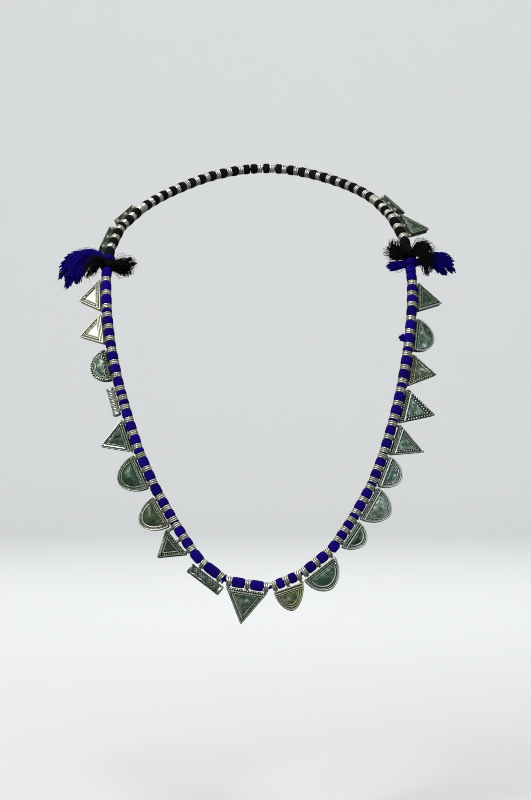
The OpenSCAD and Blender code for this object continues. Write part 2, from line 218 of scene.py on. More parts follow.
def case_frame(a):
    """The frame of the case: at the middle of its top edge, turned as it hangs from its rings."""
    hung = Matrix.Translation((a.aside * MM, 0, -drop_of(a) * MM))
    turn = Matrix.Rotation(math.radians(a.tilt), 4, "Y") @ Matrix.Rotation(math.radians(a.bend), 4, "X")
    return ring_frame(a) @ hung @ turn


print(len(AMULETS), "amulets, from", AMULETS[0].name, "to", AMULETS[-1].name)

# %% [markdown]
# ## Tools for materials
#
# Colours are chosen on a screen, so they are written as screen colours and turned to the linear
# values that the renderer adds up. One small function puts a node into a tree, sets it and links it.

# %% Colour and node helpers
def linear(screen):
    """A screen colour such as 7f8a78 as linear red, green, blue and alpha."""
    parts = [int(screen[i:i + 2], 16) / 255 for i in (0, 2, 4)]
    return [p / 12.92 if p <= 0.04045 else ((p + 0.055) / 1.055) ** 2.4 for p in parts] + [1]


def feed(tree, node, inputs):
    """Sets a node's inputs: plain values, or links from sockets or from a node's first enabled output."""
    for name, value in dict(inputs).items():
        if isinstance(value, bpy.types.Node):
            value = next(socket for socket in value.outputs if socket.enabled)
        if isinstance(value, bpy.types.NodeSocket):
            tree.links.new(value, node.inputs[name])
        else:
            node.inputs[name].default_value = value


def put(tree, kind, inputs=(), **settings):
    """Adds a node with its own settings and inputs."""
    made = tree.nodes.new(kind)
    for name, value in settings.items():
        setattr(made, name, value)
    feed(tree, made, inputs)
    return made


def new_finish(name, *attributes):
    """A material, its tree, the place on the object, and the value of each of the mesh's own attributes."""
    material = bpy.data.materials.new(name)
    material.use_nodes = True
    tree = material.node_tree
    place = put(tree, "ShaderNodeTexCoord").outputs["Object"]
    fields = [put(tree, "ShaderNodeAttribute", attribute_name=n).outputs["Fac"] for n in attributes]
    return material, tree, place, *fields


print("middle grey is", round(linear("7f7f7f")[0], 3), "in linear light")

# %% [markdown]
# ## Worked silver
# On the strip wall round a case, a low value of that attribute is painted shade rather than dirt.
#
# Old silver of low grade is bright only where skin and cloth rub it. It turns grey-green on the flat sheet,
# and dark soldering dirt stays beside the wires. Each mesh below carries three attributes: `worn` is 1 on a
# rubbed crest and 0 in a groove, `tone` is how far the amulet has tarnished, and `hue` goes from the
# blue-green to the olive that the film of tarnish takes on as it thickens. A `tone` under 0 is polished all
# over, and past 1 the film itself blackens. The materials read them, so the wear follows the real relief
# and not a picture.
#
# Hammered sheet has patches of tarnish about 3 mm wide and hammer pits of 2 mm. Drawn wire is rubbed
# brighter, with pits of half a millimetre. Cast rings are filed smooth and wear brightest, a little yellow
# from the copper in the alloy.

# %% Silver finishes
# The first colour is solder dirt in the grooves, and also painted shade on the strip wall round a case.
SOLDER_DIRT_AND_SHADE, BLACK_TARNISH = "151b14", "0b110e"
NOISE_LOW, NOISE_HIGH = 0.28, 0.72  # nearly all of a noise's values lie between these


def silver_finish(name, teal, olive, rough, patch_mm, uneven, pit_mm, pit_depth_mm):
    """Silver, dirty in its grooves and tarnished in patches. Each hue is a pair: rubbed clean, tarnished."""
    material, tree, place, worn, tone, hue = new_finish(name, "worn", "tone", "hue")
    patches = put(tree, "ShaderNodeTexNoise", {"Vector": place, "Scale": 1 / (patch_mm * MM), "Detail": 2})
    spread = put(tree, "ShaderNodeMapRange", {
        "Value": patches, "From Min": NOISE_LOW, "From Max": NOISE_HIGH, "To Min": -uneven, "To Max": uneven})
    age = put(tree, "ShaderNodeMath", {0: tone, 1: spread}, operation="ADD")
    aged = put(tree, "ShaderNodeClamp", {"Value": age})
    late = put(tree, "ShaderNodeMath", {0: age, 1: 1}, operation="SUBTRACT", use_clamp=True)
    clean, film = (
        put(tree, "ShaderNodeMix", {0: hue, 6: linear(a), 7: linear(b)}, data_type="RGBA")
        for a, b in zip(teal, olive))
    dark = put(tree, "ShaderNodeMix", {0: late, 6: film, 7: linear(BLACK_TARNISH)}, data_type="RGBA")
    skin = put(tree, "ShaderNodeMix", {0: aged, 6: clean, 7: dark}, data_type="RGBA")
    # A low value turns the colour dark: real dirt in the grooves, painted shade on the strip wall round a
    # case.
    colour = put(tree, "ShaderNodeMix", {0: worn, 6: linear(SOLDER_DIRT_AND_SHADE), 7: skin}, data_type="RGBA")
    # The film and the dirt scatter light as paint does, so the metal's mirror fades under them.
    bare = put(tree, "ShaderNodeMapRange", {"Value": aged, "To Min": 1, "To Max": 0.6})
    metal = put(tree, "ShaderNodeMath", {0: bare, 1: worn}, operation="MULTIPLY")
    # The silver's gloss varies with its patches, by 0.15 to each side, and dirt has hardly any.
    dull = put(tree, "ShaderNodeMath", {0: patches, 1: 0.3, 2: rough - 0.15}, operation="MULTIPLY_ADD")
    gloss = put(tree, "ShaderNodeMapRange", {"Value": worn, "To Min": 0.9, "To Max": dull})
    pits = put(tree, "ShaderNodeTexNoise", {"Vector": place, "Scale": 1 / (pit_mm * MM), "Detail": 3})
    bump = put(tree, "ShaderNodeBump", {"Strength": 0.6, "Distance": pit_depth_mm * MM, "Height": pits})
    feed(tree, tree.nodes["Principled BSDF"], {
        "Base Color": colour, "Metallic": metal, "Roughness": gloss, "Normal": bump})
    return material


HAMMERED_SHEET = silver_finish(
    "hammered_silver_sheet", ("d2e0d6", "3f5f51"), ("f4f1de", "54603c"),
    rough=0.43, patch_mm=2.8, uneven=0.4, pit_mm=1.9, pit_depth_mm=0.22)
DRAWN_WIRE = silver_finish(
    "drawn_silver_wire", ("eef5ec", "7c9780"), ("f6f4dd", "939c6e"),
    rough=0.28, patch_mm=2, uneven=0.35, pit_mm=0.6, pit_depth_mm=0.02)
CAST_RING = silver_finish(
    "cast_silver_ring", ("ffffff", "7d8468"), ("fffff2", "7f8039"),
    rough=0.32, patch_mm=5, uneven=0.45, pit_mm=1.4, pit_depth_mm=0.01)
print("silver finishes:", HAMMERED_SHEET.name, DRAWN_WIRE.name, CAST_RING.name)

# %% [markdown]
# ## Dyed cotton thread
#
# The beads, the string and the tassels are all cotton sewing thread, some dyed a strong violet-blue and
# some black. Cotton scatters light from its fibres, so it is rough, and the black has a soft sheen at
# grazing angles. Thread that lies deeper in a winding looks darker, which the attribute `worn` gives here
# too.
# That darkening is painted shade, as is the darker inside of a tassel's lock.

# %% Thread finishes
# A single fibre is about 0.02 mm and would vanish, so the mottling is drawn over ten times as coarse.
FIBRE_MM = 0.25


def cotton_finish(name, deep, dye, faded, sheen):
    """Dyed cotton: the dye varies from thread to thread, and fine fibres roughen it."""
    material, tree, place, worn, tone = new_finish(name, "worn", "tone")
    fibres = put(tree, "ShaderNodeTexNoise", {"Vector": place, "Scale": 1 / (FIBRE_MM * MM), "Detail": 3})
    # The noise of the fibres shifts the dye by up to a quarter to each side of the thread's own tone.
    uneven = put(tree, "ShaderNodeMath", {0: fibres, 1: 0.5, 2: tone}, operation="MULTIPLY_ADD")
    shift = put(tree, "ShaderNodeMath", {0: uneven, 1: 0.25}, operation="SUBTRACT", use_clamp=True)
    thread = put(tree, "ShaderNodeMix", {0: shift, 6: linear(dye), 7: linear(faded)}, data_type="RGBA")
    # Low values darken the thread towards `deep`: painted shade between the ridges of a winding and among a
    # tassel's inner strands.
    colour = put(tree, "ShaderNodeMix", {0: worn, 6: linear(deep), 7: thread}, data_type="RGBA")
    bump = put(tree, "ShaderNodeBump", {"Strength": 0.5, "Distance": 0.12 * MM, "Height": fibres})
    feed(tree, tree.nodes["Principled BSDF"], {
        "Base Color": colour, "Normal": bump, "Roughness": 0.8, "Specular IOR Level": 0.05,
        "Sheen Weight": sheen, "Sheen Roughness": 0.4, "Sheen Tint": linear(faded)})
    return material


INDIGO = cotton_finish("dyed_cotton_thread_violet_blue", "030118", "12006b", "1d0490", sheen=0.0)
BLACK = cotton_finish("dyed_cotton_thread_black", "030304", "0c0c0e", "1b1b1f", sheen=0.02)
print("thread finishes:", INDIGO.name, BLACK.name)

# %% [markdown]
# ## Tools for meshes and attributes
#
# Some shapes are lofted: rows of points that run round a loop, with a band of faces between each two.
# Others are lines, kept as simple meshes of edges. Both carry the attributes that the finishes read.
#
# Sizes below are in millimetres until the points go into a mesh.

# %% Mesh helpers
def add_object(name, data):
    """An object of the scene, at the origin."""
    made = bpy.data.objects.new(name, data)
    bpy.context.scene.collection.objects.link(made)
    return made


def mark(mesh, **values):
    """Writes attributes on a mesh: one value all over, or one for each point."""
    for name, value in values.items():
        found = mesh.attributes.get(name) or mesh.attributes.new(name, "FLOAT", "POINT")
        found.data.foreach_set("value", np.broadcast_to(value, len(mesh.vertices)).astype(np.float32))


def read_points(mesh):
    points = np.empty(len(mesh.vertices) * 3, np.float32)
    mesh.vertices.foreach_get("co", points)
    return points.reshape(-1, 3)


def band_faces(bands, size):
    """Faces between rows of points round a closed loop, for pairs of row numbers."""
    return [(a * size + j, a * size + (j + 1) % size, b * size + (j + 1) % size, b * size + j)
            for a, b in bands for j in range(size)]


def face_mesh(name, points, faces, finish):
    """A smooth mesh of faces, from points in metres."""
    mesh = bpy.data.meshes.new(name)
    mesh.from_pydata(np.asarray(points).tolist(), [], faces)
    mesh.materials.append(finish)
    mesh.shade_smooth()
    return mesh


def line_mesh(lines, **values):
    """Lines of points in millimetres as a mesh of edges. An attribute has one value, or one for each line."""
    starts = np.cumsum([0] + [len(line) for line in lines])
    edges = [(i, i + 1) for a, b in zip(starts, starts[1:]) for i in range(a, b - 1)]
    mesh = bpy.data.meshes.new("lines")
    mesh.from_pydata((np.concatenate(lines) * MM).tolist(), edges, [])
    for name, rows in values.items():
        if np.ndim(rows):
            rows = np.concatenate([np.broadcast_to(row, len(line)) for row, line in zip(rows, lines)])
        mark(mesh, **{name: rows})
    return mesh


print("two rings of four points make", len(band_faces([(0, 1)], 4)), "faces")

# %% [markdown]
# ## Tools for Geometry Nodes
#
# Wires, granules, windings and strands all repeat along a line. A tree of Geometry Nodes is the right tool
# for that: the line stays a simple mesh of edges, and the tree grows the rest. A tree runs on the object
# that carries the line, and that object then keeps the plain result.
#
# The trees share a few steps: even points along the lines, a shift of each point, and a round tube swept
# along what comes out.

# %% Trees and their shared steps
SOCKETS = {int: "NodeSocketInt", float: "NodeSocketFloat", type(None): "NodeSocketObject"}


def new_tree(name, sizes):
    """An empty tree with a geometry in and out, a finish, and one named input for each size."""
    tree = bpy.data.node_groups.new(name, "GeometryNodeTree")
    tree.interface.new_socket("Geometry", in_out="INPUT", socket_type="NodeSocketGeometry")
    for label, value in sizes.items():
        made = tree.interface.new_socket(label, in_out="INPUT", socket_type=SOCKETS[type(value)])
        made.default_value = value
    tree.interface.new_socket("Finish", in_out="INPUT", socket_type="NodeSocketMaterial")
    tree.interface.new_socket("Geometry", in_out="OUTPUT", socket_type="NodeSocketGeometry")
    return tree, put(tree, "NodeGroupInput").outputs


def end_tree(tree, geometry, given):
    """Ends a tree the way the export needs: real geometry, smooth, with its material. Prints its size."""
    real = put(tree, "GeometryNodeRealizeInstances", {"Geometry": geometry})
    smooth = put(tree, "GeometryNodeSetShadeSmooth", {"Geometry": real})
    done = put(tree, "GeometryNodeSetMaterial", {"Geometry": smooth, "Material": given["Finish"]})
    put(tree, "NodeGroupOutput", {"Geometry": done})
    print(tree.name, "has", len(tree.nodes), "nodes")
    return tree


def even_lines(tree, given, mode="LENGTH", **spacing):
    """The lines as curves with evenly spaced points, and the attribute `thick`."""
    curves = put(tree, "GeometryNodeMeshToCurve", {"Mesh": given["Geometry"]})
    thick = put(tree, "GeometryNodeInputNamedAttribute", {"Name": "thick"}, data_type="FLOAT")
    return put(tree, "GeometryNodeResampleCurve", {"Curve": curves, **spacing}, mode=mode), thick


def shifted(tree, geometry, way, reach):
    """The geometry with each point moved along a vector times a reach."""
    offset = put(tree, "ShaderNodeVectorMath", {0: way, "Scale": reach}, operation="SCALE")
    return put(tree, "GeometryNodeSetPosition", {"Geometry": geometry, "Offset": offset})


def set_off(tree, curves, angle, reach):
    """Curves moved off their line, each point at an angle round it."""
    normal, tangent = (put(tree, "GeometryNodeInput" + name) for name in ("Normal", "Tangent"))
    way = put(tree, "ShaderNodeVectorRotate", {"Vector": normal, "Axis": tangent, "Angle": angle})
    return shifted(tree, curves, way, reach)


def swept(tree, given, curves, radius):
    """Round tubes along curves, closed at their ends."""
    section = put(tree, "GeometryNodeCurvePrimitiveCircle", {"Resolution": given["Sides"], "Radius": 1.0})
    return put(tree, "GeometryNodeCurveToMesh", {
        "Curve": curves, "Profile Curve": section, "Scale": radius, "Fill Caps": True})


def grow(tree, mesh, **sizes):
    """Runs a tree on a mesh and returns an object with the plain result."""
    carrier = add_object(tree.name + "_grown", mesh)
    modifier = carrier.modifiers.new(tree.name, "NODES")
    modifier.node_group = tree
    for socket in tree.interface.items_tree:
        if socket.in_out == "INPUT" and socket.name in sizes:
            modifier[socket.identifier] = sizes[socket.name]
    shown = bpy.context.evaluated_depsgraph_get()
    made = bpy.data.meshes.new_from_object(
        carrier.evaluated_get(shown), preserve_all_data_layers=True, depsgraph=shown)
    carrier.modifiers.clear()
    carrier.data = made
    return carrier


print("helpers ready in Blender", bpy.app.version_string)

# %% [markdown]
# ## Soldered wire, twisted wire and granules
#
# Three kinds of trim cover the cases. Plain wire is drawn and bent along an edge. Twisted wire is two such
# wires wound round each other. Granules are drops of silver, melted to balls and soldered in a row. All
# three follow a line, and the attribute `thick` is the trim's radius there.

# %% Tree for plain wire
def plain_wire_tree():
    tree, given = new_tree("soldered_wire", {"Step": 0.5 * MM, "Sides": 8})
    even, thick = even_lines(tree, given, Length=given["Step"])
    return end_tree(tree, swept(tree, given, even, thick), given)


PLAIN_WIRE = plain_wire_tree()

# %% [markdown]
# Strands that are laid round each other follow a helix about the line. Each strand is a copy of the line,
# moved sideways by an angle that grows with the length. Two strands make the twisted wires, three make the
# thickest one and the plied string, six make the fluted sleeve of a tube, and eight each way wrap the other
# tube.
#
# `Share` is the radius of a strand as a share of the rope's. `Lead` is the length of one whole turn, and
# `Hand` is 1 or -1 for its direction.

# %% Tree for twisted strands
def laid_tree():
    tree, given = new_tree("laid_strands", {
        "Step": 0.3 * MM, "Sides": 6, "Strands": 2, "Lead": 2.4 * MM, "Share": 0.5, "Hand": 1.0})
    even, thick = even_lines(tree, given, Length=given["Step"])
    copies = put(tree, "GeometryNodeDuplicateElements", {
        "Geometry": even, "Amount": given["Strands"]}, domain="SPLINE")
    length = put(tree, "GeometryNodeSplineParameter").outputs["Length"]
    turns = put(tree, "ShaderNodeMath", {0: length, 1: given["Lead"]}, operation="DIVIDE")
    start = put(tree, "ShaderNodeMath", {
        0: copies.outputs["Duplicate Index"], 1: given["Strands"]}, operation="DIVIDE")
    whole = put(tree, "ShaderNodeMath", {0: turns, 1: given["Hand"], 2: start}, operation="MULTIPLY_ADD")
    angle = put(tree, "ShaderNodeMath", {0: whole, 1: math.tau}, operation="MULTIPLY")
    strand = put(tree, "ShaderNodeMath", {0: thick, 1: given["Share"]}, operation="MULTIPLY")
    lay = put(tree, "ShaderNodeMath", {0: thick, 1: strand}, operation="SUBTRACT")
    return end_tree(tree, swept(tree, given, set_off(tree, copies, angle, lay), strand), given)


def touching_share(strands):
    """Radius of one strand, as a share of the rope's, when the strands just touch."""
    side = math.sin(math.pi / strands)
    return side / (1 + side)


LAID_STRANDS = laid_tree()
print("two strands touch at a share of", touching_share(2))

# %% [markdown]
# A row of granules is never quite even: each drop is a little larger or smaller and sits a little off the
# line. The random values have fixed seeds, so the same drops come back each time. A drop is a ball of
# eighty faces, because there are thousands of them.

# %% Tree for granules
OFF_LINE, SMALLEST, LARGEST = 0.12, 0.86, 1.1  # all three in radii of the row


def granule_tree():
    tree, given = new_tree("granule_row", {"Spacing": 2.1, "Seed": 1})
    # The spacing counts in radii.
    pitch = put(tree, "ShaderNodeMath", {1: given["Spacing"]}, operation="MULTIPLY")
    even, thick = even_lines(tree, given, Length=pitch)
    feed(tree, pitch, {0: thick})
    points = put(tree, "GeometryNodeCurveToPoints", {"Curve": even}, mode="EVALUATED")
    off = put(tree, "FunctionNodeRandomValue", {
        0: (-OFF_LINE,) * 3, 1: (OFF_LINE,) * 3, "Seed": given["Seed"]}, data_type="FLOAT_VECTOR")
    uneven = put(tree, "FunctionNodeRandomValue", {
        2: SMALLEST, 3: LARGEST, "Seed": given["Seed"]}, data_type="FLOAT")
    size = put(tree, "ShaderNodeMath", {0: uneven, 1: thick}, operation="MULTIPLY")
    drop = put(tree, "GeometryNodeMeshIcoSphere", {"Radius": 1.0, "Subdivisions": 2})
    drops = put(tree, "GeometryNodeInstanceOnPoints", {
        "Points": shifted(tree, points, off, thick), "Instance": drop, "Scale": size})
    return end_tree(tree, drops, given)


GRANULES = granule_tree()

# %% [markdown]
# ## Outlines of the cases
#
# A case is a triangle or a half moon. Every wire on it runs beside its edge, so one function gives the line
# at any distance in from the sides and down from the top. Corners are softened by averaging each point with
# its neighbours, as a file would round them.

# %% Lines beside a case's edge
BAND = 3.4  # the top band's depth
PANEL_TOP = BAND - 0.1  # the inner panel starts just above its end
FACE, BACK = -CASE_T / 2, CASE_T / 2
TIP = 32  # the number of the point at the tip of a side line, which has twice as many steps


def side_line(a, inset, start):
    """From the top left corner round the tip to the top right corner, as x and z in the case's frame."""
    if a.round:
        # A half moon is the lower half of an ellipse, made squarer or sharper by the power.
        deep = a.tall - inset
        half = (a.wide / 2 - inset) * (1 - (start / deep) ** a.round) ** (1 / a.round)
        turn = np.linspace(math.pi, 0, 2 * TIP + 1)
        x = half * np.sign(np.cos(turn)) * np.abs(np.cos(turn)) ** (2 / a.round)
        depth = start + (deep - start) * np.clip(np.sin(turn), 0, 1) ** (2 / a.round)
        return np.column_stack([x + a.skew * depth / a.tall, -depth])
    # A side of a triangle runs in square to its slanted edge.
    lean_left, lean_right = (a.skew + a.wide / 2) / a.tall, (a.skew - a.wide / 2) / a.tall
    left_in, right_in = inset * math.hypot(1, lean_left), inset * math.hypot(1, lean_right)
    depth = np.linspace(start, a.tall * (1 - (left_in + right_in) / a.wide), TIP + 1)
    left = np.column_stack([-a.wide / 2 + lean_left * depth + left_in, -depth])
    right = np.column_stack([a.wide / 2 + lean_right * depth - right_in, -depth])
    return np.concatenate([left, right[-2::-1]])


def top_line(a, depth, inset):
    """A straight line across the case at a depth below its top edge."""
    ends = side_line(a, inset, depth)
    return np.linspace(ends[0], ends[-1], 12)


def soften(line, rounds, closed=False):
    for _ in range(rounds):
        smooth = (np.roll(line, 1, 0) + 2 * line + np.roll(line, -1, 0)) / 4
        if not closed:
            smooth[[0, -1]] = line[[0, -1]]
        line = smooth
    return line


def outline(a, inset, depth):
    """The closed line down the sides and back along the top, with sharper corners the further in it runs."""
    sides = side_line(a, inset, depth)
    top = np.linspace(sides[-1], sides[0], TIP + 1)[1:-1]
    # three rounds of softening at the edge, and none from 2.5 mm in
    rounds = round(3 * max(0, 1 - inset / 2.5))
    return soften(np.concatenate([sides, top]), rounds, closed=True)


print("points round a case:", len(outline(AMULETS[CENTRE], 0, 0)))

# %% [markdown]
# ## The sheet case
#
# Each case is a box of thin silver sheet: a back plate, a strip wall set in a little, and a front plate.
# Its inner panel is dented by wear on the triangles, and raised over a punch on the half moons. The shell
# is lofted from the same line at many insets. The attribute `worn` is low in the border, where dirt stays
# between the wires, and high in the middle of the panel.
# On the strip wall round the edge it is low as well, and there the dark is painted shade.

# %% Shell of a case
def dent(point, seed, size_mm):
    """Smooth random height from -1 to 1 at a point of the sheet, its own for each seed."""
    return noise.noise(Vector((point[0] / size_mm, point[1] / size_mm, seed * 7.3)))


def shell_rows(a, inset, dome, dents, seed):
    """Rows of points, their depth and wear or painted shade, from the middle of the back round the edge to
    the front's.
    """
    edge, panel = outline(a, 0, 0), outline(a, inset, PANEL_TOP)
    back_middle, panel_middle = edge.mean(axis=0), panel.mean(axis=0)
    rows = []
    # the back plate, from its middle out, slightly bulged
    for share in (0.05, 0.25, 0.5, 0.75, 0.93):
        line = back_middle + (edge - back_middle) * share
        bulge = [BACK + 0.25 * (1 - share**2) + 0.12 * dent(p, seed + 50, 5) * (1 - share**4) for p in line]
        rows.append((line, bulge, 0.85))
    # round the edge: distance in, depth and wear, with the strip wall set in by 0.2 mm; on the wall and the
    # front rim the low values are painted shade
    for step, depth, worn in ((0, BACK, 0.8), (0, BACK - 0.3, 0.6), (0.2, BACK - 0.4, 0.2),
                              (0.2, FACE + 0.45, 0.15), (0, FACE + 0.35, 0.3), (0, FACE, 0.2)):
        rows.append((outline(a, step, step), np.full(len(edge), depth), worn))
    # the flat border of the front plate, which holds dirt
    for share in (0.12, 0.35, 0.6, 0.85, 1):
        rows.append((outline(a, share * inset, share * PANEL_TOP), np.full(len(edge), FACE), 0.22))
    # the panel, from its rim to its middle, domed and dented, and rubbed a little way in from the rim
    for share in (0.94, 0.85, 0.72, 0.58, 0.44, 0.3, 0.16, 0.04):
        line = panel_middle + (panel - panel_middle) * share
        height = [FACE - dome * (1 - share**2) - dents * dent(p, seed, 3.2) * (1 - share**6) for p in line]
        rows.append((line, height, min(1, 0.45 + 6 * (1 - share))))
    return rows


def case_shell(a, inset, dome, dents, seed):
    """The closed shell as an object in the case's frame, in metres."""
    rows = shell_rows(a, inset, dome, dents, seed)
    size, last = len(rows[0][0]), len(rows) - 1
    points = np.concatenate([np.column_stack([line[:, 0], depth, line[:, 1]]) for line, depth, _ in rows])
    faces = band_faces([(k, k + 1) for k in range(last)], size)
    caps = [tuple(reversed(range(size))), tuple(range(last * size, (last + 1) * size))]
    mesh = face_mesh("shell", points * MM, faces + caps, HAMMERED_SHEET)
    mark(mesh, worn=np.repeat([worn for _, _, worn in rows], size))
    return add_object("shell", mesh)


def volume_mm3(mesh):
    """Volume inside a closed mesh: positive when its faces point outwards."""
    solid = bmesh.new()
    solid.from_mesh(mesh)
    found = solid.calc_volume(signed=True) / MM**3
    solid.free()
    return found


trial = case_shell(AMULETS[CENTRE], inset=3.1, dome=0, dents=0.2, seed=1)
print(f"the shell of the largest triangle holds {volume_mm3(trial.data):.0f} mm3 and faces outwards")
bpy.data.objects.remove(trial)

# %% [markdown]
# ## Turned shapes
#
# A ring on the string is cast with three ridges round it. The post that joins it to the case is a short
# waisted stub. Both are a profile turned round an axis. The ring's grooves hold dirt, so `worn` follows the
# radius.

# %% Profiles turned round an axis
# place along the axis, radius
RING_HALF = [(-1.45, 1.75), (-1.45, 2.7), (-1.36, 2.9), (-1.16, 3), (-0.98, 2.93), (-0.86, 2.7), (-0.76, 2.4),
             (-0.46, 2.38), (-0.36, 2.68), (-0.2, 2.93)]
RING_PROFILE = [*RING_HALF, (0, 2.98), *((-x, r) for x, r in reversed(RING_HALF))]
POST_TOP, POST_END = -2.3, -4.1
POST_PROFILE = [(POST_TOP, 0), (POST_TOP, 0.8), (-2.8, 0.75), (-3.2, 0.85), (-3.6, 1.15), (POST_END, 1.2),
                (POST_END, 0)]


def turned(name, profile, sides, finish, groove, crest):
    """A mesh turned round the x axis. `worn` rises from the radius of a groove to that of a crest."""
    x, r = np.array(profile).T
    angle = np.linspace(0, math.tau, sides, endpoint=False)
    points = np.array([(px, pr * math.cos(t), pr * math.sin(t)) for px, pr in zip(x, r) for t in angle])
    rows = len(profile)
    # A profile off the axis closes on itself.
    bands = [(k, k + 1) for k in range(rows - 1)] + ([(rows - 1, 0)] if r[0] > 0 else [])
    mesh = face_mesh(name, points * MM, band_faces(bands, sides), finish)
    mark(mesh, worn=np.clip((np.repeat(r, sides) - groove) / (crest - groove), 0.1, 1))
    solid = bmesh.new()
    solid.from_mesh(mesh)
    bmesh.ops.remove_doubles(solid, verts=solid.verts, dist=1e-6)
    bmesh.ops.recalc_face_normals(solid, faces=solid.faces)
    solid.to_mesh(mesh)
    solid.free()
    return mesh


RING = turned("cast_ring", RING_PROFILE, sides=32, finish=CAST_RING, groove=2.3, crest=2.9)
POST = turned("soldered_post", POST_PROFILE, sides=12, finish=DRAWN_WIRE, groove=0.6, crest=2.0)
print(f"a ring has {len(RING.polygons)} faces and {volume_mm3(RING):.0f} mm3 of silver")

# %% [markdown]
# The same ring comes back on every amulet and round the nape. A tree sets one at each point, with its axis
# along the direction that the point carries, turned by a random angle so that no two rings show the same
# side.

# %% Tree for rings on a string
def threaded_tree():
    tree, given = new_tree("rings_on_string", {"Seed": 1, "Ring": None})
    axis = put(tree, "GeometryNodeInputNamedAttribute", {"Name": "axis"}, data_type="FLOAT_VECTOR")
    face = put(tree, "FunctionNodeAlignRotationToVector", {"Vector": axis}, axis="X")
    spin = put(tree, "FunctionNodeRandomValue", {
        2: 0.0, 3: math.tau, "Seed": given["Seed"]}, data_type="FLOAT")
    own = put(tree, "FunctionNodeAxisAngleToRotation", {"Axis": (1, 0, 0), "Angle": spin})
    both = put(tree, "FunctionNodeRotateRotation", {
        "Rotation": face, "Rotate By": own}, rotation_space="LOCAL")
    ring = put(tree, "GeometryNodeObjectInfo", {"Object": given["Ring"]}).outputs["Geometry"]
    rings = put(tree, "GeometryNodeInstanceOnPoints", {
        "Points": given["Geometry"], "Instance": ring, "Rotation": both})
    return end_tree(tree, rings, given)


def grow_rings(places, axes, seed):
    """Rings at points in millimetres, each with its axis along a direction."""
    mesh = bpy.data.meshes.new("points")
    mesh.from_pydata((np.array(places) * MM).tolist(), [], [])
    directions = np.array(axes, float).ravel()
    mesh.attributes.new("axis", "FLOAT_VECTOR", "POINT").data.foreach_set("vector", directions)
    return grow(RINGS_ON_STRING, mesh, Ring=RING_MODEL, Seed=seed, Finish=CAST_RING)


RINGS_ON_STRING = threaded_tree()
RING_MODEL = bpy.data.objects.new("ring_model", RING)

# %% [markdown]
# ## How each amulet is trimmed
#
# No two amulets are alike. This table says what is soldered to each: rows across the top band, and rows
# down both sides or down one. In an amulet's own frame its rings are on top, so `left` is the side that
# comes first along the string. A row is its kind, its distance in from the edge, its radius, and sometimes
# its own tarnish where it is rubbed brighter or duller than the rest. `balls` are single drops of silver,
# by place and radius.
#
# `tone` is the tarnish of the sheet and `hue` its colour. `dome` is the height of the raised panel, `dents`
# the depth of its dents and `panel` its distance in where it starts nearer the edge. `rub` says how
# squarely a wire must face forward to be bright, where that differs from the usual.

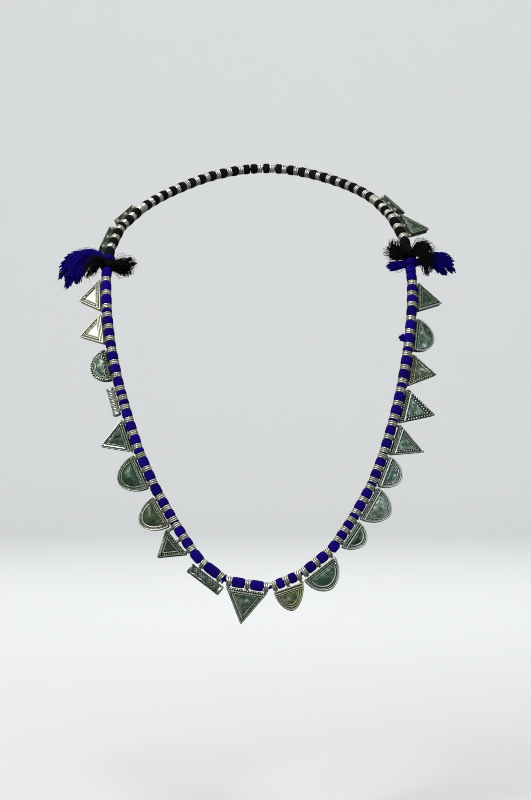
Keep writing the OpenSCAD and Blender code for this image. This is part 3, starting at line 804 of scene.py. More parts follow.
# %% Table of trims
TRIMS = {
    "back_triangle_left": dict(
        tone=0.7, hue=0.5, dents=0.2,
        top=[("wire", 0.4, 0.38), ("grains", 1.4, 0.42), ("rope", 2.6, 0.4)],
        sides=[("wire", 0.4, 0.42), ("grains", 1.5, 0.42), ("wire", 2.6, 0.32)]),
    "back_half_moon_left": dict(
        tone=0.8, hue=0.1, dome=1, dents=0.1,
        top=[("wire", 0.4, 0.38), ("wire", 2.9, 0.3)],
        sides=[("wire", 0.45, 0.45), ("wire", 2.3, 0.32)]),
    "triangle_1": dict(
        tone=-0.1, hue=0.6, dents=0.12, panel=2.85,
        top=[("wire", 0.4, 0.42), ("rope", 1.6, 0.55), ("wire", 2.8, 0.28)],
        left=[("wire", 0.45, 0.44), ("rope", 2, 0.56)],
        right=[("wire", 0.5, 0.42), ("rope", 1.8, 0.42)]),
    "triangle_2": dict(
        tone=-0.25, hue=0.6, dents=0.1,
        top=[("wire", 0.4, 0.42), ("wire", 1.45, 0.38), ("wire", 2.55, 0.34)],
        left=[("wire", 0.45, 0.45), ("rope", 1.6, 0.38), ("wire", 2.6, 0.3)],
        right=[("wire", 0.5, 0.46), ("wire", 1.9, 0.36)]),
    "half_moon_1": dict(
        tone=1.02, hue=0.1, dome=0.7, dents=0.1,
        top=[("grains", 0.5, 0.5), ("beads", 1.9, 0.55), ("wire", 2.95, 0.26)],
        sides=[("grains", 0.6, 0.52, -0.1), ("rope", 1.9, 0.42, 0), ("wire", 2.85, 0.3),
               ("wire", 3.7, 0.28)]),
    "triangle_3": dict(
        tone=1.65, hue=0, dents=0.4, rub=0.1,
        top=[("wire", 0.35, 0.3), ("wire", 1.7, 0.4), ("wire", 3, 0.28)],
        left=[("wire", 0.6, 0.66, -0.3), ("rope", 1.95, 0.34), ("wire", 2.8, 0.26)],
        right=[("wire", 0.25, 0.26), ("wire", 1.3, 0.72, -0.3), ("wire", 2.6, 0.26)],
        balls=[(-7.6, -1.6, 0.55), (3.9, -1.4, 0.6), (4.6, -2.6, 0.45), (-2.4, -5.6, 0.5)]),
    "half_moon_2": dict(
        tone=1.2, hue=0.2, dome=1.4, dents=0.16,
        top=[("rope", 0.7, 0.5), ("back_rope", 1.8, 0.5), ("wire", 2.8, 0.28)],
        sides=[("wire", 0.45, 0.42), ("rope", 1.6, 0.42), ("wire", 2.8, 0.4)]),
    "half_moon_3": dict(
        tone=1.15, hue=0.6, dome=1.4, dents=0.2,
        top=[("rope", 0.7, 0.42), ("back_rope", 1.6, 0.42), ("grains", 2.6, 0.36)],
        sides=[("wire", 0.45, 0.42, 0), ("rope", 1.5, 0.3), ("wire", 2.5, 0.44, -0.25)]),
    "triangle_4": dict(
        tone=1.6, hue=0.3, dents=0.22,
        top=[("grains", 0.6, 0.38), ("grains", 1.7, 0.4), ("wire", 2.85, 0.34)],
        left=[("thick_rope", 0.95, 0.88, 0), ("wire", 2.55, 0.42)],
        right=[("rope", 0.6, 0.36), ("grains", 1.5, 0.36), ("wire", 2.5, 0.4)]),
    "centre_triangle": dict(
        tone=0.9, hue=0.3, dents=0.5,
        top=[("grains", 0.45, 0.44, -0.3), ("rope", 1.75, 0.46, -0.2), ("wire", 2.9, 0.3)],
        left=[("rope", 0.55, 0.38), ("wire", 1.9, 0.45, 0.1), ("wire", 2.85, 0.28)],
        right=[("wire", 0.4, 0.4), ("grains", 1.45, 0.38), ("wire", 2.5, 0.38)]),
    "half_moon_4": dict(
        tone=0.9, hue=1, dome=0.3, dents=0.08,
        top=[("wire", 0.45, 0.48), ("wire", 1.9, 0.4), ("wire", 2.95, 0.28)],
        sides=[("wire", 0.5, 0.46), ("wire", 1.95, 0.38), ("wire", 3.25, 0.32)]),
    "half_moon_5": dict(
        tone=1.1, hue=0.2, dome=0.55, dents=0.24,
        top=[("wire", 0.4, 0.5, 0), ("rope", 1.6, 0.4), ("wire", 2.9, 0.36)],
        sides=[("wire", 0.6, 0.45, 0), ("wire", 1.75, 0.3), ("wire", 2.95, 0.42, 0.1)],
        balls=[(10, -1.1, 0.55), (9.9, -2.5, 0.5), (8.9, -3.8, 0.48)]),
    "half_moon_6": dict(
        tone=1.45, hue=0, dome=0.8, dents=0.12,
        top=[("wire", 0.4, 0.34), ("wire", 1.4, 0.34), ("wire", 2.85, 0.44, 0.1)],
        sides=[("wire", 0.5, 0.46, 0), ("wire", 1.5, 0.42), ("wire", 2.7, 0.44, -0.3)],
        balls=[(5.7, -4.1, 0.45)]),
    "half_moon_7": dict(
        tone=0.72, hue=0.1, dome=0.9, dents=0.12,
        top=[("grains", 0.45, 0.4), ("rope", 1.45, 0.36), ("wire", 2.6, 0.46, -0.25)],
        sides=[("wire", 0.55, 0.46, 0), ("wire", 1.6, 0.3), ("wire", 2.5, 0.32)],
        balls=[(-6.1, -5.4, 0.5), (-5.4, -6.6, 0.42)]),
    "half_moon_8": dict(
        tone=0.85, hue=0, dome=0.7, dents=0.1,
        top=[("wire", 0.35, 0.35), ("wire", 1.5, 0.58, -0.2), ("grains", 2.85, 0.36)],
        sides=[("wire", 0.5, 0.46, -0.1), ("wire", 1.55, 0.4, 0.5), ("rope", 2.65, 0.44, -0.2),
               ("wire", 3.6, 0.3)]),
    "triangle_5": dict(
        tone=0.85, hue=0.1, dents=0.16,
        top=[("rope", 0.5, 0.45), ("back_rope", 1.4, 0.42), ("wire", 2.5, 0.5, -0.25)],
        left=[("wire", 0.35, 0.36), ("grains", 1.6, 0.48, -0.1), ("wire", 2.7, 0.28)],
        right=[("wire", 0.4, 0.35), ("rope", 1.4, 0.35), ("rope", 2.4, 0.37)],
        balls=[(-0.3, -18.2, 0.85)]),
    "triangle_6": dict(
        tone=0.92, hue=0.1, dents=0.14,
        top=[("grains", 0.4, 0.45), ("grains", 1.4, 0.42), ("wire", 2.55, 0.5, -0.25)],
        sides=[("grains", 0.85, 0.56, 0), ("grains", 2.45, 0.54, 0)]),
    "triangle_7": dict(
        tone=0.95, hue=0.7, dents=0.16,
        top=[("grains", 0.45, 0.44), ("grains", 1.6, 0.44), ("wire", 2.7, 0.3)],
        left=[("grains", 0.6, 0.46), ("wire", 1.5, 0.26), ("grains", 2.4, 0.48)],
        right=[("wire", 0.45, 0.38, 0), ("rope", 1.4, 0.32), ("wire", 2.35, 0.36, 0)]),
    "half_moon_9": dict(
        tone=0.85, hue=0.1, dome=0.8, dents=0.3, panel=1.7,
        top=[("wire", 0.35, 0.36), ("rope", 1.8, 0.62), ("wire", 2.95, 0.28)],
        sides=[("wire", 0.45, 0.42, -0.1), ("wire", 1.4, 0.2)]),
    "triangle_8": dict(
        tone=1, hue=0.3, dents=0.18,
        top=[("grains", 0.5, 0.44), ("rope", 1.6, 0.42), ("rope", 2.65, 0.4)],
        left=[("wire", 0.5, 0.56, -0.25), ("rope", 2, 0.4), ("wire", 2.9, 0.26)],
        right=[("rope", 0.8, 0.42), ("rope", 1.9, 0.4), ("wire", 2.85, 0.32)]),
    "back_triangle_right": dict(
        tone=1, hue=0.3, dents=0.16,
        top=[("grains", 0.5, 0.44), ("wire", 1.55, 0.34), ("rope", 2.65, 0.38)],
        sides=[("wire", 0.5, 0.46), ("rope", 1.6, 0.38), ("wire", 2.6, 0.3)]),
    "back_half_moon_right": dict(
        tone=0.85, hue=0.1, dome=1, dents=0.1,
        top=[("wire", 0.4, 0.38), ("wire", 2.9, 0.3)],
        sides=[("wire", 0.45, 0.46), ("wire", 2.3, 0.32)]),
}
print(len(TRIMS), "cases, with", sum(len(trim["top"]) for trim in TRIMS.values()), "rows across their tops")

# %% [markdown]
# A row becomes a line on the front plate. It stands off the plate by part of its radius, because solder
# fills the corner under it. Rows beside the edge start at the top corner, and the rows inside them start
# under the top band.

# %% Rows of trim as lines
WIRE_STAND, BALL_STAND = 0.55, 0.6  # height of a row's and a ball's middle over the plate, in radii
NEAR_EDGE = 0.7  # a row closer than this starts at the top corner
USUAL_TONE = 0.75  # the tarnish of a row as a share of the sheet's


def on_plate(line, radius):
    """Points of a flat line, lifted so that a wire of that radius sits in its solder on the front plate."""
    return np.column_stack([line[:, 0], np.full(len(line), FACE - WIRE_STAND * radius), line[:, 1]])


def trim_lines(a, trim):
    """Lines, radii and tarnish for each kind of trim on an amulet."""
    found = {}

    def add(kind, line, radius, own):
        """Adds one row, with its own tarnish or the usual."""
        tone = own[0] if own else USUAL_TONE * min(1, trim["tone"])
        found.setdefault(kind, []).append((on_plate(line, radius), radius, tone))

    for kind, depth, radius, *own in trim["top"]:
        add(kind, top_line(a, depth, radius), radius, own)
    band_end = max(depth + radius for _, depth, radius, *_ in trim["top"])
    for place, part in (("sides", slice(None)), ("left", slice(TIP + 1)), ("right", slice(TIP, None))):
        for kind, inset, radius, *own in trim.get(place, []):
            start = min(0.3 + radius, inset) if inset < NEAR_EDGE else band_end + 0.6 * radius
            add(kind, soften(side_line(a, inset, start), 2)[part], radius, own)
    return found


print({kind: len(rows) for kind, rows in trim_lines(AMULETS[CENTRE], TRIMS["centre_triangle"]).items()})

# %% [markdown]
# Each kind of row has its tree and its sizes. After a tree has run, `worn` is set from the way that the
# surface faces: the crest of a wire is rubbed bright, and its flanks go down into the dirt.

# %% Trim of one amulet
# tree, its sizes, and how squarely the surface must face forward to count as rubbed
GROWERS = {
    "wire": (PLAIN_WIRE, {}, 0.62),
    "rope": (LAID_STRANDS, {"Hand": 1.0}, 0.62),
    "back_rope": (LAID_STRANDS, {"Hand": -1.0}, 0.62),
    "thick_rope": (LAID_STRANDS, {"Strands": 3, "Share": 0.3, "Lead": 3.4 * MM}, 0.45),
    "grains": (GRANULES, {"Spacing": 3.0}, 0.4),
    "beads": (GRANULES, {"Spacing": 4.0}, 0.4),
}
BALL_FACING = 0.3  # the same for a single ball
FADE = 0.2  # the wear fades out over this much turning away


def rubbed(piece, facing):
    """The piece with its wear: bright where it faces forward from the front plate, dirty on its flanks."""
    normals = np.empty(len(piece.data.vertices) * 3, np.float32)
    piece.data.vertex_normals.foreach_get("vector", normals)
    mark(piece.data, worn=np.clip((-normals.reshape(-1, 3)[:, 1] - facing) / FADE, 0, 1))
    return piece


def trim_objects(a, trim, seed):
    made = []
    for kind, rows in trim_lines(a, trim).items():
        tree, sizes, facing = GROWERS[kind]
        lines, radii, tones = zip(*rows)
        mesh = line_mesh(lines, thick=[r * MM for r in radii], tone=tones)
        extra = {"Seed": seed} if tree is GRANULES else {}
        made.append(rubbed(grow(tree, mesh, Finish=DRAWN_WIRE, **sizes, **extra), trim.get("rub", facing)))
    for x, z, radius in trim.get("balls", []):
        # a line too short for a second drop
        spot = np.array([(x, FACE - BALL_STAND * radius, z - down) for down in (0, 0.001)])
        mesh = line_mesh([spot], thick=radius * MM, tone=0.2)
        made.append(rubbed(grow(GRANULES, mesh, Finish=DRAWN_WIRE, Seed=seed), BALL_FACING))
    return made


print("kinds of trim:", ", ".join(GROWERS))

# %% [markdown]
# ## Putting an amulet together
#
# The case, its trim, its posts and its rings are soldered into one thing, so they become one mesh. Its
# parts are moved from the amulet's frame to their place, and the finished object stays at the origin. It
# then stands for its node and rides on its body: the largest triangle swings, and all others ride on the
# string.

# %% Join parts into one piece
def join_parts(name, parts):
    """One object from several, at the origin."""
    bpy.ops.object.select_all(action="DESELECT")
    for part in parts:
        part.select_set(True)
    bpy.context.view_layer.objects.active = parts[0]
    bpy.ops.object.join()
    piece = parts[0]
    piece.name = piece.data.name = name
    return piece


def stand_for(node, slot, name, parts):
    """Joins parts into a piece that replaces a node and rides on its body. The slot is not used."""
    piece = join_parts(name, parts)
    body = next(n for n, e in frame["bodies"].items() if frame["nodes"][node].parent is e)
    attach(piece, body)
    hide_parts(node)
    return piece


def rings_of(a):
    """Rings and posts of an amulet in the frame of its rings."""
    places = [k * a.span / (a.rings - 1) - a.span / 2 for k in range(a.rings)]
    # A seed only has to stay the same, so the length of the name serves.
    parts = [grow_rings([(x, 0, 0) for x in places], [(1, 0, 0)] * a.rings, seed=len(a.name))]
    for x in places:
        # Each post is stretched from its top to 0.5 mm inside the case.
        foot = drop_of(a) + (x - a.aside) * math.tan(math.radians(a.tilt)) + 0.5
        stretch = Matrix.Diagonal(((foot + POST_TOP) / (POST_TOP - POST_END), 1, 1, 1))
        top = Matrix.Translation((POST_TOP * MM, 0, 0))
        stand = Matrix.Translation((x * MM, 0, 0)) @ Matrix.Rotation(math.radians(-90), 4, "Y")
        mesh = POST.copy()
        mesh.transform(stand @ top @ stretch @ top.inverted())
        parts.append(add_object("post", mesh))
    return parts


print("an amulet is its shell, its trim, its posts and its rings")

# %% [markdown]
# ## Tubes
#
# Two amulets are small tubes for a rolled text. One has a fluted sleeve of six wires laid round it at a
# slant. The other is wrapped crosswise, by one set of thin wires in each direction, and a soldered seam
# runs along its lower front. Both have collars at their ends, and `bright` is how far in from each end they
# are rubbed clean.

# %% Parts of a tube
TUBES = {
    "tube_1": dict(tone=0.15, hue=0.2, bright=(0.4, 0.4), finish=DRAWN_WIRE, seam=None, sleeves=[
        dict(Strands=6, Share=0.26, Lead=10 * MM, Hand=-1.0)]),
    "tube_2": dict(tone=0.85, hue=0.2, bright=(0.85, 1.6), finish=HAMMERED_SHEET, seam=(-9.6, 1.2), sleeves=[
        dict(Strands=8, Share=0.07, Lead=15 * MM, Hand=hand) for hand in (1.0, -1.0)]),
}
# distance in from the end and distance under the full radius: two ridges, then down to the body
COLLAR = [(0, 0.25), (0.3, 0), (0.75, 0), (0.9, 0.3), (1.1, 0.05), (1.5, 0.05), (1.7, 0.5)]


def tube_objects(a):
    """The turned core of a tube, its sleeves of wire, and its seam where it has one."""
    tube = TUBES[a.name]
    r, half = a.tall / 2, a.wide / 2
    left_end = [(-half, 0), *((place - half, r - under) for place, under in COLLAR)]
    right_end = [(-x, radius) for x, radius in reversed(left_end)]
    core = turned("tube_core", left_end + right_end, sides=48, finish=HAMMERED_SHEET,
                  groove=r - 0.7, crest=r - 0.1)
    core.transform(Matrix.Translation((0, 0, -r * MM)))
    x = read_points(core)[:, 0] / MM
    left, right = tube["bright"]
    mark(core, tone=np.where((x < left - half) | (x > half - right), -0.2, tube["tone"]))
    parts = [add_object("tube", core)]
    reach = half - COLLAR[-1][0]
    line = np.column_stack([np.linspace(-reach, reach, 12), np.zeros(12), np.full(12, -r)])
    for sleeve in tube["sleeves"]:
        carrier = line_mesh([line], thick=(r - 0.08) * MM, tone=0.9 * tube["tone"])
        wires = grow(LAID_STRANDS, carrier, Finish=tube["finish"], **sleeve)
        # Rubbed down to 0.1 mm under the full radius, and dirty from 0.24 mm on.
        away = np.linalg.norm(read_points(wires.data)[:, 1:] / MM + [0, r], axis=1)
        mark(wires.data, worn=np.clip((away - r + 0.24) / 0.14, 0, 1))
        parts.append(wires)
    if tube["seam"]:
        x = np.linspace(*tube["seam"], 24)
        # 35 degrees under the middle of the front, not quite straight
        low = np.radians(35 + 5 * np.sin(x * 1.3))
        row = np.column_stack([x, -(r - 0.15) * np.cos(low), -r - (r - 0.15) * np.sin(low)])
        parts.append(grow(PLAIN_WIRE, line_mesh([row], thick=0.3 * MM, tone=0.1), Finish=DRAWN_WIRE))
        mark(parts[-1].data, worn=0.8)
    return parts


print("tubes:", " and ".join(TUBES))

# %% [markdown]
# ## All the amulets
#
# Each amulet is made flat in its own frame, where its lines are easy to lay, then moved to its place. The
# rings get a tarnish of their own: they rub on the thread and stay brighter than the sheet.

# %% Make all the amulets
RING_LOOK = dict(tone=0.28, hue=0.9)  # little tarnish, and olive


def case_parts_of(a, i):
    """The parts of a case in its own frame, each with its own tarnish."""
    if a.name in TUBES:
        return tube_objects(a)
    trim = TRIMS[a.name]
    shell = case_shell(a, trim.get("panel", a.border - 0.3), trim.get("dome", 0), trim["dents"], i)
    mark(shell.data, tone=trim["tone"])
    return [shell, *trim_objects(a, trim, i)]


def make_amulet(i):
    a = AMULETS[i]
    hue = (TUBES.get(a.name) or TRIMS[a.name])["hue"]
    case_parts = case_parts_of(a, i)
    for part in case_parts:
        part.data.transform(case_frame(a))
        mark(part.data, hue=hue)
    ring_parts = rings_of(a)
    for part in ring_parts:
        part.data.transform(ring_frame(a))
        mark(part.data, **RING_LOOK)
    return stand_for(a.name, "silver", a.name + "_worked", case_parts + ring_parts)


amulets = [make_amulet(i) for i in range(len(AMULETS))]
faces = [sum(len(p.vertices) - 2 for p in piece.data.polygons) for piece in amulets]
print(f"{len(amulets)} amulets, {min(faces)} to {max(faces)} triangles each, {sum(faces)} in all")

# %% [markdown]
# ## Where the beads and rings sit
#
# The solids hold the beads and the nape rings as loose turned bodies on the string. Each one's axis is the
# normal of its flat end, which is the face that looks most nearly along the string, so its two ends can be
# measured exactly.

# %% Measure what is threaded
def loose_parts(node):
    """Points and face normals, in metres, of each loose solid in a node."""
    solid = bmesh.new()
    solid.from_mesh(frame["nodes"][node].data)
    bmesh.ops.remove_doubles(solid, verts=solid.verts, dist=1e-7)
    left = set(solid.verts)
    while left:
        part, edge = set(), [left.pop()]
        while edge:
            v = edge.pop()
            part.add(v)
            near = [e.other_vert(v) for e in v.link_edges if e.other_vert(v) in left]
            left.difference_update(near)
            edge.extend(near)
        normals = np.array([f.normal for f in {f for v in part for f in v.link_faces}])
        yield np.array([v.co for v in part]), normals
    solid.free()


fine = np.arange(0, LOOP, 1.0)
string_points = np.array([at(s) for s in fine])


def threaded(node):
    """Start and end of each loose solid's axis, in millimetres, in their order along the string."""
    found = []
    for points, normals in loose_parts(node):
        centre = (points.max(axis=0) + points.min(axis=0)) / 2 / MM
        place = fine[np.argmin(np.linalg.norm(string_points - centre, axis=1))]
        way = along(place)
        axis = normals[np.argmax(np.abs(normals @ way))]
        axis = unit(axis * np.sign(axis @ way))
        reach = (points / MM - centre) @ axis
        found.append((place, centre + axis * reach.min(), centre + axis * reach.max()))
    return [(start, end) for _, start, end in sorted(found, key=lambda row: row[0])]


blue_beads, black_beads, nape_rings = (
    threaded(n) for n in ("blue_thread_beads", "black_thread_beads", "nape_rings"))
print(len(blue_beads), "blue beads,", len(black_beads), "black beads,", len(nape_rings), "nape rings")

# %% [markdown]
# ## Beads of wound thread
#
# A bead is thread wound round and round a core until it bulges, so its surface is a fine screw of ridges. A
# tree turns each bead's axis into a barrel, then sinks the surface between the ridges of a screw. Real
# sewing thread is about 0.4 mm, less than a pixel of the render, so the ridges are drawn more than twice as
# wide, at 0.95 mm.

# %% Tree for wound beads
def wound_tree():
    tree, given = new_tree("wound_thread", {
        "Pitch": 0.95 * MM, "Ridge": 0.25 * MM, "Bulge": 0.22, "Sides": 24, "Hand": 1.0})
    # Four points to a ridge are enough for its round back.
    step = put(tree, "ShaderNodeMath", {0: given["Pitch"], 1: 0.25}, operation="MULTIPLY")
    even, thick = even_lines(tree, given, Length=step)
    spline = put(tree, "GeometryNodeSplineParameter")
    # The length along the axis and the turn round it are kept for the mesh.
    kept = put(tree, "GeometryNodeCaptureAttribute", {"Geometry": even})
    kept.capture_items.new("FLOAT", "length")
    feed(tree, kept, {1: spline.outputs["Length"]})
    section = put(tree, "GeometryNodeCurvePrimitiveCircle", {"Resolution": given["Sides"], "Radius": 1.0})
    round_kept = put(tree, "GeometryNodeCaptureAttribute", {"Geometry": section})
    round_kept.capture_items.new("FLOAT", "turn")
    feed(tree, round_kept, {1: put(tree, "GeometryNodeSplineParameter")})
    # barrel: 1 - Bulge x |2t - 1|^5, for t from 0 to 1 along the axis
    ends = put(tree, "ShaderNodeMath", {0: spline, 1: 2, 2: -1}, operation="MULTIPLY_ADD")
    flat = put(tree, "ShaderNodeMath", {0: ends}, operation="ABSOLUTE")
    steep = put(tree, "ShaderNodeMath", {0: flat, 1: 5}, operation="POWER")
    fall = put(tree, "ShaderNodeMath", {0: steep, 1: given["Bulge"]}, operation="MULTIPLY")
    barrel = put(tree, "ShaderNodeMath", {0: 1, 1: fall}, operation="SUBTRACT")
    radius = put(tree, "ShaderNodeMath", {0: barrel, 1: thick}, operation="MULTIPLY")
    body = put(tree, "GeometryNodeCurveToMesh", {
        "Curve": kept, "Profile Curve": round_kept, "Scale": radius, "Fill Caps": True})
    # screw: one ridge for each pitch along the axis, which wanders by part of a ridge over 2 mm, as thread
    # wound by hand does
    wander = put(tree, "ShaderNodeTexNoise", {"Scale": 1 / (2 * MM), "Detail": 1})
    loose = put(tree, "ShaderNodeMath", {0: wander, 1: 0.9}, operation="MULTIPLY")
    screw = put(tree, "ShaderNodeMath", {0: kept.outputs[1], 1: given["Pitch"]}, operation="DIVIDE")
    climb = put(tree, "ShaderNodeMath", {
        0: round_kept.outputs[1], 1: given["Hand"], 2: screw}, operation="MULTIPLY_ADD")
    phase = put(tree, "ShaderNodeMath", {0: climb, 1: loose}, operation="ADD")
    wave = put(tree, "ShaderNodeMath", {0: phase, 1: math.pi}, operation="MULTIPLY")
    sine = put(tree, "ShaderNodeMath", {0: wave}, operation="SINE")
    crest = put(tree, "ShaderNodeMath", {0: sine}, operation="ABSOLUTE")
    lift = put(tree, "ShaderNodeMath", {0: crest, 1: given["Ridge"]}, operation="MULTIPLY")
    sunk = put(tree, "ShaderNodeMath", {0: lift, 1: given["Ridge"]}, operation="SUBTRACT")
    # The crests store 1 and the hollows between them 0, and the finish paints the hollows darker as painted
    # shade.
    marked = put(tree, "GeometryNodeStoreNamedAttribute", {
        "Geometry": body, "Name": "worn", "Value": crest}, data_type="FLOAT", domain="POINT")
    return end_tree(tree, shifted(tree, marked, put(tree, "GeometryNodeInputNormal"), sunk), given)


WOUND_THREAD = wound_tree()

# %% [markdown]
# All beads of one colour become one piece, because the solids keep them as one node too. Dye takes a little
# differently in each length of thread, so every bead has its own tone.

# %% Wind the beads
BEAD_R = 3.2


def wind_beads(name, ends, finish, node, slot):
    """All beads of one node as one piece, each a barrel between its two ends."""
    lines = [np.linspace(start, end, 4) for start, end in ends]
    tones = np.random.default_rng(len(name)).uniform(0, 0.8, len(lines))
    mesh = line_mesh(lines, thick=BEAD_R * MM, tone=tones)
    piece = stand_for(node, slot, name, [grow(WOUND_THREAD, mesh, Finish=finish)])
    print(name, "has", len(piece.data.polygons), "faces on", len(ends), "beads")


wind_beads("violet_blue_beads_wound", blue_beads, INDIGO, "blue_thread_beads", "blue_thread")
wind_beads("black_beads_wound", black_beads, BLACK, "black_thread_beads", "black_thread")

# %% [markdown]
# ## Rings round the nape
#
# Behind the shoulders the string carries only plain rings and black beads. The tree that set the amulets'
# rings sets these too.

# %% Rings round the nape
centres = [(start + end) / 2 for start, end in nape_rings]
axes = [unit(end - start) for start, end in nape_rings]
rings = grow_rings(centres, axes, seed=5)
mark(rings.data, tone=0.25, hue=0.6)
stand_for("nape_rings", "silver", "nape_rings_cast", [rings])
print(len(centres), "rings round the nape")

# %% [markdown]
# ## The string itself
#
# One plied thread of three strands carries the front, and a black one goes round the back. They meet at the
# knots. It shows only in the small gaps beside the rings, and the tree for laid strands makes it.

# %% Plied threads
LEFT_KNOT, RIGHT_KNOT = -234.5, 251.5
THREAD_R = 1.2


def corner_points(first, final):
    """Ends of the amulets' rings, where the string turns."""
    return [ring_end(i, side) for i in range(first, final + 1) for side in (-1, 1)]


def ply_thread(name, points, finish, node, slot):
    line = line_mesh([np.array(points)], thick=THREAD_R * MM)
    thread = grow(LAID_STRANDS, line, Finish=finish, Strands=3, Share=touching_share(3), Lead=6.5 * MM,
                  Step=0.9 * MM)
    mark(thread.data, worn=0.8, tone=0.3)
    stand_for(node, slot, name, [thread])
    print(name, "runs", round(float(np.linalg.norm(np.diff(points, axis=0), axis=1).sum()), 1), "mm")


nape_line = [(a + b) / 2 for (_, a), (b, _) in zip(nape_rings, nape_rings[1:])]
last = len(AMULETS) - 1
front_points = [at(LEFT_KNOT), *corner_points(FIRST_FRONT, LAST_FRONT), at(RIGHT_KNOT)]
back_points = [at(RIGHT_KNOT), *corner_points(LAST_FRONT + 1, last), *nape_line,
               *corner_points(0, FIRST_FRONT - 1), at(LEFT_KNOT)]
ply_thread("front_thread_plied", front_points, INDIGO, "front_thread", "blue_thread")
ply_thread("back_thread_plied", back_points, BLACK, "back_thread", "black_thread")

# %% [markdown]
# ## Tassels
#
# At each knot the blue and the black thread end in loose bundles. A bundle is dozens of strands that leave
# a wrapped head together, bow out over the shoulder and spread at their ends. The solids give each lock one
# bend. Here each lock is a smooth line, and a tree lays strands about it that fan out and stray.

# %% Tree for loose strands
def strand_tree():
    tree, given = new_tree("loose_strands", {
        "Strands": 40, "Stray": 1.5 * MM, "Radius": 0.2 * MM, "Shortest": 0.7, "Sides": 4, "Seed": 1})
    even, thick = even_lines(tree, given, "COUNT", Count=14)
    geometry = put(tree, "GeometryNodeDuplicateElements", {
        "Geometry": even, "Amount": given["Strands"]}, domain="SPLINE")
    # Each strand draws its side of the lock, how far out it lies there, and its own bends.
    chance = {}
    for offset, (label, high) in enumerate((("side", math.tau), ("away", 1.0), ("own", 40.0))):
        seed = put(tree, "ShaderNodeMath", {0: given["Seed"], 1: offset}, operation="ADD")
        value = put(tree, "FunctionNodeRandomValue", {2: 0.0, 3: high, "Seed": seed}, data_type="FLOAT")
        kept = put(tree, "GeometryNodeCaptureAttribute", {"Geometry": geometry}, domain="CURVE")
        kept.capture_items.new("FLOAT", label)
        feed(tree, kept, {1: value})
        geometry, chance[label] = kept, kept.outputs[1]
    share = put(tree, "GeometryNodeSplineParameter")
    # The root of a random share fills the lock's section evenly. A strand winds a little round the lock.
    root = put(tree, "ShaderNodeMath", {0: chance["away"], 1: 0.5}, operation="POWER")
    reach = put(tree, "ShaderNodeMath", {0: root, 1: thick}, operation="MULTIPLY")
    twist = put(tree, "ShaderNodeMath", {0: share, 1: 1.2, 2: chance["side"]}, operation="MULTIPLY_ADD")
    spread = set_off(tree, geometry, twist, reach)
    # A strand bends more towards its end, over about 9 mm. The noise stays within about a quarter of its
    # middle, so four times that reaches `Stray`.
    drift = put(tree, "ShaderNodeTexNoise", {
        "W": chance["own"], "Scale": 1 / (9 * MM), "Detail": 2}, noise_dimensions="4D").outputs["Color"]
    centred = put(tree, "ShaderNodeVectorMath", {0: drift, 1: (0.5,) * 3}, operation="SUBTRACT")
    growing = put(tree, "ShaderNodeMath", {0: share, 1: given["Stray"]}, operation="MULTIPLY")
    wide = put(tree, "ShaderNodeMath", {0: growing, 1: 4}, operation="MULTIPLY")
    strayed = shifted(tree, spread, centred, wide)
    # Outer strands are shorter, and lighter because less of the lock shades them.
    cut = put(tree, "ShaderNodeMapRange", {"Value": chance["away"], "To Min": 1, "To Max": given["Shortest"]})
    trimmed = put(tree, "GeometryNodeTrimCurve", {"Curve": strayed, "End": cut}, mode="FACTOR")
    geometry = swept(tree, given, trimmed, given["Radius"])
    # The random number from 0 to 40 gives each strand its own tone from 0 to 0.8.
    shade = put(tree, "ShaderNodeMath", {0: chance["own"], 1: 0.02}, operation="MULTIPLY")
    lit = put(tree, "ShaderNodeMapRange", {"Value": chance["away"], "To Min": 0.35, "To Max": 1})
    # The inner strands are painted darker as painted shade, and the outer ones lighter as painted light.
    for name, value in (("tone", shade), ("worn", lit)):
        geometry = put(tree, "GeometryNodeStoreNamedAttribute", {
            "Geometry": geometry, "Name": name, "Value": value}, data_type="FLOAT", domain="POINT")
    return end_tree(tree, geometry, given)


LOOSE_STRANDS = strand_tree()

# %% [markdown]
# The table of locks has the same places as the solids: the bend and the end of each lock, from the middle
# of the head, and how far the lock stands off from the chest.

# %% Locks of each tassel
# bow_right, bow_up, end_right, end_up, fore
LOCKS = {
    "left_blue_tassel": [
        (-15, 3, -27, 1, 0), (-15, 3, -30, -5, 0), (-16, 4, -30, -12, 0), (-15, 3, -26, -18, 1),
        (-13, 2.5, -19, -15, 0)],
    "left_black_tassel": [(-8, 1, -13, -7, 6), (-6, 3, -10, 3, 7), (8, 0, 15, -5, 3), (8, 0, 17, 3, 5)],
    "right_blue_tassel": [
        (16, 4.5, 27, 1, 0), (17, 3.5, 27, -6, 0), (14, 0.5, 22, -7, 0), (-7, -1, -14, -2, 1)],
    "right_black_tassel": [(-7, 2, -14, 5, 6), (-6, 3, -10, 10, 8), (9, 5.5, 11, -12, 9), (7, 5, 13, 6, 8)],
}
# knot, the amulet that the string goes to from there, and the end of it
KNOTS = {
    "left_blue_tassel": (LEFT_KNOT, FIRST_FRONT - 1, 1),
    "left_black_tassel": (LEFT_KNOT, FIRST_FRONT, -1),
    "right_blue_tassel": (RIGHT_KNOT, LAST_FRONT, 1),
    "right_black_tassel": (RIGHT_KNOT, LAST_FRONT + 1, -1),
}
HEAD_R, HEAD_LEN, LOCK_R, BEAD_GAP = 4.4, 4.4, 2.0, 0.15
LOCK_POINTS = 16
SIDE_SLOPE, UP_SLOPE = 0.25, 0.55  # how far the chest falls back for each step sideways and upwards


def head_ends(knot, i, side):
    """Both ends of a tassel's wrapped head, on the straight way from the knot to the next ring."""
    out = unit(ring_end(i, side) - at(knot))
    lean = math.acos(min(1, abs(float(out @ along(knot)))))
    start = at(knot) + out * (BEAD_GAP + HEAD_R * math.tan(lean))
    return start, start + out * HEAD_LEN


def on_chest(right, up, fore):
    return np.array([right, SIDE_SLOPE * abs(right) + UP_SLOPE * up - fore, up])


